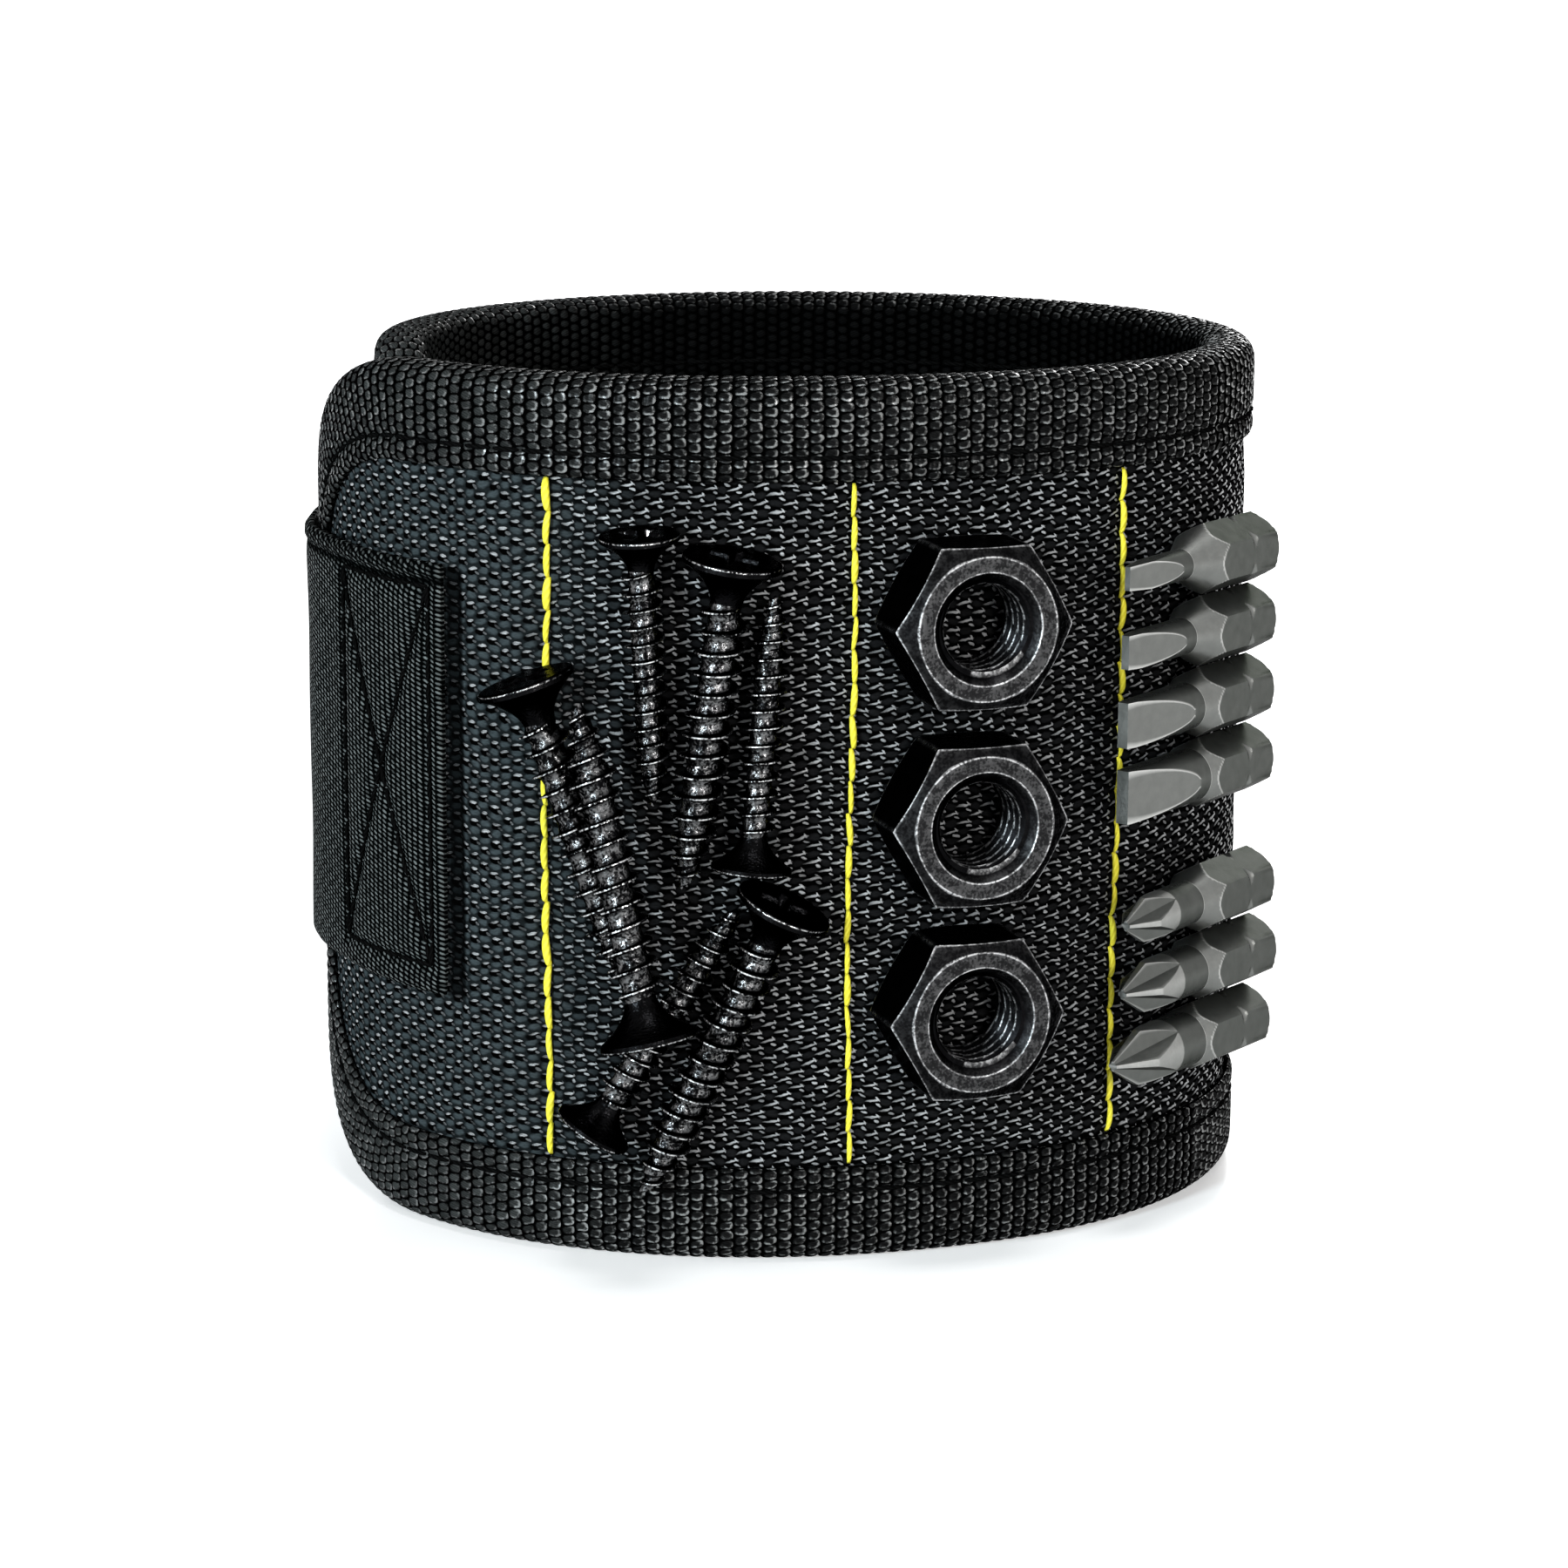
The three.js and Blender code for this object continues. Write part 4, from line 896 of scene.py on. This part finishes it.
lines = []
for start_of, end_of in np.array(SEWN):
    count = round(math.dist(start_of, end_of) / STRAP_STITCH)
    share = (np.arange(count)[:, None] + 0.04 + 0.92 * np.linspace(0, 1, 8)) / count
    lines.append(start_of + share[..., None] * (end_of - start_of))
along, height = np.concatenate(lines).transpose(2, 0, 1)
arch = 0.78 + 0.16 * np.sin(np.linspace(0, np.pi, 8)) ** 0.5
line = on_strap(along, height, arch)
facing = (on_strap(along, height, arch + 1) - line) * 1000
girth = 0.00027 * (0.45 + 0.55 * np.sin(np.linspace(0.15, np.pi - 0.15, 8)))
sewn = piece_of("strap_stitches", *strands(line, facing, girth, 6), black_thread, "strap_webbing")
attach(sewn, "band_front")

# ------------------------ hook and loop
# Under the strap's free end a patch of stiff hooks grips a wider patch of soft loops that
# is sewn on the back of the band, so the band closes at any length.
LOOP_FROM, LOOP_TO = arc_at([181, 243])
LOOP_SEAT, LOOP_THICKNESS, LOOP_RISE = 2.3, 1.0, 0.35
HOOK_MARGIN, HOOK_SEAT, HOOK_THICKNESS = 2.0, 3.42, 0.8
CURLS, CURL_THREAD, CURL_INSET = 3400, 0.00006, 0.7


def patch(first, last, margin, seat, thickness, fluff):
    """Flat patch along the band, narrower than the strap by its margins, with a rounded
    edge: its outer face falls off as a quarter circle over the last millimetre, and wavers
    by the fluff."""
    first, last, low, high = first + margin, last - margin, STRAP_LOW + margin, STRAP_HIGH - margin
    arcs = np.linspace(first, last, int(abs(last - first) / 0.7))[:, None]
    faces = np.linspace(low, high, 60)
    heights = np.append(faces, faces[::-8])
    face = np.arange(len(heights)) < 60
    edge = np.minimum(heights - low, high - heights)
    edge = np.minimum(edge, np.minimum(np.abs(arcs - first), np.abs(last - arcs)))
    rounded = thickness * np.sqrt(1 - (1 - np.clip(edge, 0, 1)) ** 2 * 0.8)
    arc = np.broadcast_to(arcs, (len(arcs), len(heights)))
    height = np.broadcast_to(heights, arc.shape)
    out = np.where(face, seat + rounded + fluff * puckers(arc * 4, height * 4), seat)
    return strip(arc, height, out), flat_shell(arc, height)


pile, start, shader = finish(
    "loop_pile", Roughness=0.95, Specular_IOR_Level=0.0, Sheen_Weight=0.08, Sheen_Roughness=0.6
)
tuft, fluff = unevenness(start, 1500, 3.0), unevenness(start, 300, 2.0)
drive(
    shader,
    Base_Color=(tuft * 0.7 + fluff * 0.4).tint(0.0008, (0.015, 0.0155, 0.016)),
    Normal=(tuft + fluff * 0.5).bump(0.0006),
)
ground = patch(LOOP_FROM, LOOP_TO, 0, LOOP_SEAT, LOOP_THICKNESS - LOOP_RISE, 0.06)
loops = piece_of("loop_patch_pile", *ground, pile, "loop_tape")
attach(loops, "band_back")
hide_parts("loop_patch")

rng = np.random.default_rng(11)
arch = np.linspace(0, np.pi, 6)
low, high = np.array([LOOP_FROM, STRAP_LOW]), np.array([LOOP_TO, STRAP_HIGH])
foot = rng.uniform(low + CURL_INSET, high - CURL_INSET, (CURLS, 2))
aim, reach = rng.uniform(0, 2 * np.pi, (CURLS, 1)), rng.uniform(0.3, 0.6, (CURLS, 1))
arc = foot[:, :1] + reach * np.cos(aim) * np.cos(arch)
height = foot[:, 1:] + reach * np.sin(aim) * np.cos(arch)
out = LOOP_SEAT + LOOP_THICKNESS - LOOP_RISE - 0.05
out = out + LOOP_RISE * np.sin(arch) * rng.uniform(0.6, 1, (CURLS, 1))
line = strip(arc, height, out)
facing = strip(arc - np.sin(aim), height + np.cos(aim), out) - line
loose = strands(line, facing, CURL_THREAD + 0 * arch, 4, 1)
curls = piece_of("loop_patch_curls", *loose, pile, "loop_tape")
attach(curls, "band_back")

combed, start, shader = finish("hook_tape", Roughness=0.5, Specular_IOR_Level=0.4)
u, v = plan_of(start)
x, y, chance = brick_cells(u, v, 1.0, 0.8)
peg = dome(x, 0.3) * dome(y, 0.3)
drive(
    shader,
    Base_Color=(peg * (0.6 + chance * 0.4)).tint(0.006, (0.05, 0.05, 0.052)),
    Normal=peg.bump(0.0006),
)
over = arc_at(np.interp(FREE - 1.5, ARCS, ANGLES) + 360 - STRAP_DROP)
stiff = patch(arc_at(STRAP_END), over, HOOK_MARGIN, HOOK_SEAT, HOOK_THICKNESS, 0)
hooks = piece_of("hook_patch_tape", *stiff, combed, "hook_tape")
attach(hooks, "strap_end")
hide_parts("hook_patch")

# ------------------------ nuts
# Three heavy hexagon nuts of blackened steel, chamfered on both faces, with a countersunk
# threaded bore, held with one face on the third panel. Their edges are painted bright,
# partly as black scuffed off and partly as highlight.
NUT_FLATS, NUT_THICKNESS = 16.0, 8.4
NUT_BORE, NUT_MOUTH, NUT_RING, NUT_SINK = 4.3, 5.6, 7.15, 0.7
NUT_PITCH, NUT_THREAD = 1.5, 0.6
NUT_COLUMNS = 144
HARDWARE_FACE = 2.75


def soft_least(a, b, ease):
    """The lesser of two, rounded off where they cross."""
    mix = np.clip(0.5 + (b - a) / (2 * ease), 0, 1)
    return b * (1 - mix) + a * mix - ease * mix * (1 - mix)


def hexagon(turn, flats, ease=0.12):
    """Radius of a hexagon with slightly rounded corners and a flat side towards 0."""
    folded = np.abs((turn + math.pi / 6) % (math.pi / 3) - math.pi / 6)
    return soft_least(flats / 2 / np.cos(folded), flats / math.sqrt(3) * 0.995, ease)


def turned(turn, height, radius):
    """Points round an axis along Z, in mm."""
    turn, height, radius = np.broadcast_arrays(turn, height, radius)
    return np.stack([radius * np.cos(turn), radius * np.sin(turn), height], -1)


def nut_shape():
    """Closed ring: up the outside, in over the front face, down the threaded bore and out
    over the back face. Each face is a flat ring, and from it a cone of 30 degrees falls to
    the hexagon, so it meets each side in an arc. The bore is a circle with a helical
    ridge. Edges are painted bright, partly as steel scuffed to the metal and partly as
    highlight, the rest of the faces a little, and the crests of the bore's thread are
    painted bright as highlight."""
    turn = np.linspace(0, 2 * math.pi, NUT_COLUMNS + 1)[:-1]
    half = NUT_THICKNESS / 2
    side = hexagon(turn + math.pi / 6, NUT_FLATS, 0.06)
    fall = (side - NUT_RING) / math.sqrt(3)
    corner = 0.25 * (np.arange(NUT_COLUMNS) % (NUT_COLUMNS // 6) == 0)
    rows = [(height, side, corner) for height in (0 * turn, half * 0.45, half - fall - 0.13)]
    rows += [
        (half - fall * share, NUT_RING + (side - NUT_RING) * share, wear_and_glint)
        for share, wear_and_glint in ((1, 0.8), (0.88, 0.03), (0.5, 0.01), (0.12, 0.02), (0, 1))
    ]
    rows += [
        (half, NUT_RING - 0.12, 0.10), (half, (NUT_RING + NUT_MOUTH) / 2, 0.06),
        (half, NUT_MOUTH + 0.12, 0.09), (half, NUT_MOUTH, 1),
        (half - 0.1, NUT_MOUTH - 0.1, 0.03), (half - NUT_SINK, NUT_BORE + NUT_THREAD, 0),
    ]
    back = [(-height, radius, wear_and_glint) for height, radius, wear_and_glint in rows[::-1]]
    bore = np.linspace(half - NUT_SINK - 0.05, NUT_SINK + 0.05 - half, 62)[:, None]
    wave = np.abs(((bore / NUT_PITCH - turn / (2 * math.pi)) % 1) * 2 - 1)
    crest = np.clip(wave * 1.3 - 0.15, 0, 1)
    # The bore's thread crests are painted bright as highlight.
    rows += [
        (height, NUT_BORE + NUT_THREAD * ridge, 0.5 * (ridge < 0.12))
        for height, ridge in zip(bore, crest)
    ]
    rows += back
    points = np.stack([turned(turn, height, radius) for height, radius, _ in rows])
    wear_and_glint_rows = np.stack([wear_and_glint + 0 * turn for *_, wear_and_glint in rows])
    return points, flat_grid(run_along(points[:, 0]), np.linspace(0, 50, NUT_COLUMNS + 1)), wear_and_glint_rows


def place_on(points, origin, across, upward, out):
    """Points of a piece built along Z, set at a place of the band with its own axes."""
    return (points @ np.stack([across, upward, out])) / 1000 + origin


def frame_at(arc):
    """Directions along the band, up, and straight out at a place."""
    out = (strip(arc, 0, 1) - strip(arc, 0, 0))[0] * 1000
    return np.array([-out[1], out[0], 0]), np.array([0, 0, 1.0]), out


def steel_with_wear_and_glints(name, skin, bright_metal, rough, ragged, edge, pits):
    """Steel that turns from its skin towards a brighter metal colour where a point's attribute
    says, as raggedly as told: partly skin scuffed off, partly painted highlight on edges,
    crests and in the nut's bore. edge is how much of the sky its slanting faces mirror, and
    pits their depth in metres."""
    material, start, shader = finish(name, Metallic=1.0, Specular_Tint=colour(edge))
    wear_and_glint = start.node("ShaderNodeAttribute", {"attribute_name": "wear_and_glint"}, {}, leaves="Fac")
    blotch, grain = unevenness(start, 900, 3.0), unevenness(start, 3600, 2.0)
    wear_and_glint_paint = wear_and_glint * (1 - ragged + (blotch * 0.5 + grain * 0.5).share(0.43, 0.6) * ragged)
    drive(
        shader,
        Base_Color=wear_and_glint_paint.tint((blotch * 1.6 - 0.3).tint(*skin), bright_metal),
        Roughness=rough + grain * 0.12 + blotch * 0.06,
        Normal=(grain + blotch).bump(pits),
    )
    return material


def held(piece, node):
    """The magnets hold this piece: it moves alone, as its node's own body does."""
    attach(piece, f"held_{node}")
    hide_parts(node)


NUT_ARC = arc_at(14.7)
NUT_BLACK = (0.0012, 0.0012, 0.0014), (0.005, 0.005, 0.0054)

nut_steel = steel_with_wear_and_glints("nut_steel", NUT_BLACK, (0.62, 0.62, 0.63), 0.28, 0.8, 0.04, 0.00003)
points, plan, wear_and_glint = nut_shape()
for number, height in enumerate((66.5, 46.7, 26.9), 1):
    origin = strip(NUT_ARC, height, HARDWARE_FACE + NUT_THICKNESS / 2)[0]
    placed = place_on(points, origin, *frame_at(NUT_ARC))
    nut = piece_of(
        f"hex_nut_{number}", placed, plan, nut_steel, "nut_steel", capped=False, crease=20, wear_and_glint=wear_and_glint
    )
    held(nut, f"nut_{number}")

# ------------------------ driver bits
# Hexagon-shank driver bits of grey satin steel lie level on the side panel: four ground to
# flat blades of growing width, three milled to crosses. A groove notches each shank.
BIT_LENGTH, BIT_SHANK, BIT_FLATS, BIT_SPACING = 25.0, 10.5, 6.35, 7.4
BIT_NECK = math.radians(25.5)
BIT_COLUMNS = 96
FLUTE_LEAN = 0.4


def spread(edge, wedge, first):
    """Turn of each column round a bit. Each wedge has so many even steps from 0 to the
    edge, which falls on a column, and the rest go on to the wedge's end; every second
    wedge is a mirror image. Gives also each column's step."""
    steps = round(BIT_COLUMNS * wedge / (2 * math.pi))
    number, step = np.divmod(np.arange(BIT_COLUMNS), steps)
    step = np.where(number % 2, steps - step, step)
    rest = edge + (wedge - edge) * (step - first) / (steps - first)
    turn = np.where(step <= first, edge * step / first, rest)
    return np.where(number % 2, (number + 1) * wedge - turn, number * wedge + turn), step


def bit_rows(shaft, tip):
    """Rows along a bit: those of its tip, and closely where its neck, groove and end are."""
    shoulder = BIT_LENGTH - BIT_SHANK
    collar = shoulder - (BIT_FLATS / math.sqrt(3) - shaft / 2) / math.tan(BIT_NECK)
    notch = shoulder + BIT_SHANK / 2
    return np.unique(np.round(np.concatenate([
        tip, [collar - 0.05, collar, collar + 0.05],
        np.linspace(shoulder - 1.2, shoulder + 0.2, 15), notch + np.linspace(-0.6, 0.6, 13),
        BIT_LENGTH - np.array([0.9, 0.6, 0.35, 0.15, 0]),
    ]), 3))[:, None]


def shank(rows, turn, shaft):
    """Radius behind the tip and how bright it is painted: the shaft up to a collar, then the
    lesser of a cone and the hexagon, with a shallow groove that only cuts its corners and
    a bevelled end. The cone and the groove are turned bright, and the edges where the cone
    meets the hexagon and the shaft are painted bright as highlight."""
    shoulder = BIT_LENGTH - BIT_SHANK
    cone = BIT_FLATS / math.sqrt(3) - (shoulder - rows) * math.tan(BIT_NECK)
    six = hexagon(turn + math.pi / 6, BIT_FLATS, 0.05)
    groove = 3.28 + 0.4 * ((rows - shoulder - BIT_SHANK / 2) / 0.6) ** 2
    end = BIT_FLATS / 2 - 0.35 + (BIT_LENGTH - rows)
    body = np.minimum(np.minimum(np.maximum(cone, shaft / 2), six), np.minimum(groove, end))
    turned_bright = ((cone > shaft / 2 + 0.01) & (cone < six)) | (groove < six)
    # Painted highlight along the cone's edges.
    rim = (np.abs(cone - six) < 0.05) | (np.abs(cone - shaft / 2) < 0.002)
    return body, np.where(rim, 0.6, np.where(turned_bright, 0.12, 0))


def on_shank(rows, turn, shaft, cut, tip, tip_wear_and_glint):
    """Rows, turns, radius and painted brightness of a whole bit. In front of the cut's end
    the radius is the lesser of the tip's and the shank's; behind it the shank is whole."""
    body, wear_and_glint = shank(rows, turn, shaft)
    front = rows < cut
    return rows, turn, np.where(front, np.minimum(tip, body), body), np.where(front, tip_wear_and_glint, wear_and_glint)


def slotted_shape(width, shaft):
    """Round shaft ground down on two sides to a blunt blade: the radius is the least of the
    shaft, two planes that close towards the tip, and the two narrow sides."""
    blade = 5 + shaft
    rows = bit_rows(shaft, np.linspace(0, blade + 1.2, 36))
    share = np.minimum(rows / blade, 1)
    thin = width / 8 + (shaft / 2 - width / 8) * share
    side = width / 2 + (shaft - width) / 2 * share
    reach = np.minimum(side, np.sqrt(np.maximum(shaft**2 / 4 - thin**2, 0)))
    edge = np.minimum(np.arctan2(thin, reach), math.radians(86))
    edge = edge + (math.pi / 4 - edge) * smooth(rows, blade, blade + 1.2)
    turn, step = spread(edge, math.pi / 2, 12)
    flat, narrow = (np.maximum(np.abs(part), 1e-4) for part in (np.sin(turn), np.cos(turn)))
    tip = np.minimum(thin / flat, side / narrow)
    # The ground faces are a little brighter, and their edge is painted bright as highlight.
    ground = np.where(step > 12, 0.1, np.where(step == 12, 0.9, 0))
    return on_shank(rows, turn, shaft, blade, tip, ground)


def cross_shape(shaft):
    """Cone-ended shaft with four flutes milled into it: the radius is the lesser of the
    cone and of the flutes' walls, which lean so that the wings thicken inwards, and whose
    root climbs to the surface."""
    flute = 1.5 * shaft
    rows = bit_rows(shaft, np.linspace(0, flute + 1.2, 48))
    cone = np.minimum(0.5 + 0.58 * rows, shaft / 2)
    root = 0.35 + (shaft / 2 - 0.35) * rows / flute
    wall = (1 + FLUTE_LEAN) * root / math.sqrt(2)
    meet = np.arcsin(np.clip(wall / (cone * math.hypot(1, FLUTE_LEAN)), 0, 1))
    edge = np.clip(meet - math.atan(FLUTE_LEAN), math.radians(2), math.radians(43))
    edge = edge + (math.pi / 12 - edge) * smooth(rows, flute, flute + 1.2)
    turn, step = spread(edge, math.pi / 4, 4)
    folded = np.abs((turn + math.pi / 4) % (math.pi / 2) - math.pi / 4)
    walls = wall / (np.sin(folded) + FLUTE_LEAN * np.cos(folded))
    milled = np.where(step <= 4, 0.45, 0.02)
    return on_shank(rows, turn, shaft, flute, np.minimum(cone, walls), milled)


SATIN_GREY = (0.098, 0.102, 0.096), (0.128, 0.132, 0.125)

bit_steel = steel_with_wear_and_glints("bit_steel", SATIN_GREY, (0.6, 0.6, 0.58), 0.32, 0.1, 0.2, 0.00001)


def lay_bit(name, node, shape, place, height):
    """Sets a bit level on the band with one flat against it, its tip towards the front."""
    rows, turn, radius, wear_and_glint = shape
    angle, back = place
    along, upward, out = frame_at(arc_at(angle))
    origin = strip(arc_at(angle), height, HARDWARE_FACE + BIT_FLATS / 2)[0]
    origin = origin + along * (-BIT_LENGTH / 2 - back) / 1000
    points = place_on(turned(turn, rows, radius), origin, upward, out, along)
    plan = flat_grid(rows[:, 0], np.linspace(0, 20, BIT_COLUMNS + 1))
    held(piece_of(name, points, plan, bit_steel, "bit_steel", crease=20, wear_and_glint=wear_and_glint), node)


SLOTTED = (
    (2.4, 3.2, (55.6, 6.9)), (3.4, 3.8, (55.7, 7.1)),
    (4.6, 4.9, (55.4, 6.8)), (5.4, 5.6, (55.3, 6.4)),
)
CROSSED = (4.6, (55.6, 5.5)), (5.2, (53.8, 3.5)), (5.8, (52.9, 3.8))
SLOTTED_TOP, CROSSED_TOP = 70.2, 34.5
for number, (width, shaft, place) in enumerate(SLOTTED):
    shape, height = slotted_shape(width, shaft), SLOTTED_TOP - number * BIT_SPACING
    lay_bit(f"flat_bit_{number + 1}", f"slotted_bit_{number + 1}", shape, place, height)
for number, (shaft, place) in enumerate(CROSSED):
    shape, height = cross_shape(shaft), CROSSED_TOP - number * BIT_SPACING
    lay_bit(f"cross_bit_{number + 1}", f"phillips_bit_{number + 1}", shape, place, height)

# ------------------------ screws
# Black bugle-head screws in two sizes, rolled with a coarse thread that runs out to a
# sharp point, with a cross recess in each head. They lie in a loose heap on the panel.
SIZES = "length", "head", "deep", "rim", "core", "thread", "pitch", "taper"
LONG = dict(zip(SIZES, (34, 9.8, 5, 0.7, 3.1, 5, 2.1, 7)))
SHORT = dict(zip(SIZES, (27.5, 8, 4, 0.6, 2.5, 4, 1.7, 6)))
SCREW_COLUMNS = 64
SCREWS = (
    ("screw_short_1", SHORT, (-23.1, 0.839, 0), (-21.9, 0.53, 0)),
    ("screw_long_1", LONG, (-12.9, 0.817, 0), (-18.3, 0.447, 0)),
    ("screw_short_2", SHORT, (-10.8, 0.467, 0), (-8.2, 0.764, 0)),
    ("screw_long_2", LONG, (-35.6, 0.674, 0), (-23.6, 0.301, 0)),
    ("screw_long_3", LONG, (-20.9, 0.288, 1), (-29.3, 0.654, 0.72)),
    ("screw_short_3", SHORT, (-28.6, 0.162, 0), (-12.9, 0.411, 0)),
    ("screw_long_4", LONG, (-7, 0.433, 0), (-23.1, 0.088, 0)),
)


def point_of(size, height):
    """Share of its full width that a screw has: the root of its distance from the point, as
    a share of the taper."""
    return np.sqrt(np.clip((size["length"] - height) / size["taper"], 0, 1))


def screw_head(size):
    """Head and shank: the top is flat with a cross sunk in it, as deep as a product of
    falls across the four arms, then a rim, a bugle curve and the core, tapering to a point."""
    turn = np.linspace(0, 2 * math.pi, SCREW_COLUMNS + 1)[:-1]
    rim, core = size["head"] / 2, size["core"] / 2
    inner = np.linspace(0.02, 0.93, 12)[:, None] * rim
    arm = np.minimum(np.abs(np.cos(turn)), np.abs(np.sin(turn))) * inner
    reach = rim * 0.55
    sunk = smooth(reach - inner, 0, 0.5) * smooth(0.62 - arm, 0, 0.3) * (1 - 0.5 * inner / reach)
    flare = np.linspace(0, 1, 9)[:, None]
    under = core + (rim - core) * (1 - flare) ** 2.1
    down = size["rim"] + (size["deep"] - size["rim"]) * flare
    shaft = np.linspace(size["deep"] + 0.2, size["length"], 46)[:, None]
    rows = [
        *turned(turn, size["deep"] * 0.5 * sunk, inner),
        turned(turn, 0.03, rim * 0.965), turned(turn, 0.12, rim * 0.993), turned(turn, 0.2, rim),
        turned(turn, 0.3, rim), turned(turn, size["rim"] * 0.8, rim),
        *turned(turn, down, under),
        *turned(turn, shaft, (core - 0.15) * point_of(size, shaft) + 0.01),
    ]
    points = np.stack(rows)
    # Thin line round the head's rim painted bright as highlight.
    wear_and_glint = np.where(np.abs(points[..., 2] - 0.2) < 0.05, 0.7, 0)
    plan = flat_grid(run_along(points[:, 0]), np.linspace(0, 15, SCREW_COLUMNS + 1))
    return points, plan, wear_and_glint


def screw_thread(size):
    """Thread carried along a helix: a narrow ridge with shallow slopes on both sides that
    meet in the next valley, full from half a turn below the head, shrinking to the point.
    The crest is painted bright as a highlight line, and the valley a little brighter as painted
    sheen that catches the lamps; the flanks keep the black skin."""
    first, last = size["deep"] - 0.3, size["length"] - 0.6
    turns = (last - first) / size["pitch"]
    turn = np.linspace(0, turns * 2 * math.pi, int(turns * 28))[:, None]
    height = first + turn / (2 * math.pi) * size["pitch"]
    taper = point_of(size, height)
    grow = smooth(turn, 0, 2.2)
    core, crest = size["core"] / 2 * taper, size["thread"] / 2 * taper
    reach = core + (crest - core) * grow
    flank = np.array([[0, 0.5], [0.10, 0.31], [0.22, 0.12], [0.6, 0.06], [1, 0.035]])
    side = np.concatenate([flank * (1, -1), flank[::-1]])
    radius = core + (reach - core) * side[:, 0]
    points = turned(turn, height + side[:, 1] * size["pitch"], np.maximum(radius, 0.02))
    plan = flat_grid(turn[:, 0] * size["core"] / 2, np.arange(11.0) / 3)
    painted_glint = np.array([0.16, 0.14, 0.01, 0, 0.6])
    return points, plan, np.append(painted_glint, painted_glint[::-1]) + 0 * turn


def joined(first, second):
    """Makes one piece of two and gives it."""
    chosen = {"active_object": first, "selected_editable_objects": [first, second]}
    with bpy.context.temp_override(**chosen):
        bpy.ops.object.join()
    return first


SCREW_BLACK = (0.0014, 0.0014, 0.0016), (0.006, 0.006, 0.0064)
SCREW_LIFT = 5


def screw_end(place, width):
    """Axis point of a screw's end, which is so wide and lies on the face or is lifted."""
    angle, share, lifted = place
    out = HARDWARE_FACE + width / 2 + lifted * SCREW_LIFT
    return strip(arc_at(angle), share * BAND_HEIGHT, out)[0]


screw_steel = steel_with_wear_and_glints("screw_steel", SCREW_BLACK, (0.9, 0.9, 0.91), 0.12, 1.0, 0.1, 0.00006)
for name, size, head, tip in SCREWS:
    start_at, end_at = screw_end(head, size["head"]), screw_end(tip, size["thread"])
    along = unit(end_at - start_at)
    across = unit(np.cross(along, (0.3, 0.5, 0.81)))
    parts = []
    for part, (points, plan, wear_and_glint) in (("head", screw_head(size)), ("thread", screw_thread(size))):
        placed = place_on(points, start_at, across, np.cross(along, across), along)
        parts.append(piece_of(
            f"{name}_{part}", placed, plan, screw_steel, "screw_steel", crease=38, wear_and_glint=wear_and_glint
        ))
    screw = joined(*parts)
    screw.name = name.replace("screw", "bugle_screw")
    held(screw, name)

# ------------------------ magnets
# Small discs of nickel-plated magnet sit in the padding behind the panels. They stay as
# they are in the solid model and only take a brushed nickel finish.
nickel, start, shader = finish("nickel_plate", Metallic=1.0)
haze = unevenness(start, 900, 3.0)
drive(
    shader,
    Base_Color=haze.tint((0.5, 0.49, 0.46), (0.66, 0.65, 0.62)),
    Roughness=0.22 + haze * 0.16,
)
for name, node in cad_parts.items():
    if name.startswith("magnet_"):
        node.data.materials.clear()
        node.data.materials.append(nickel)
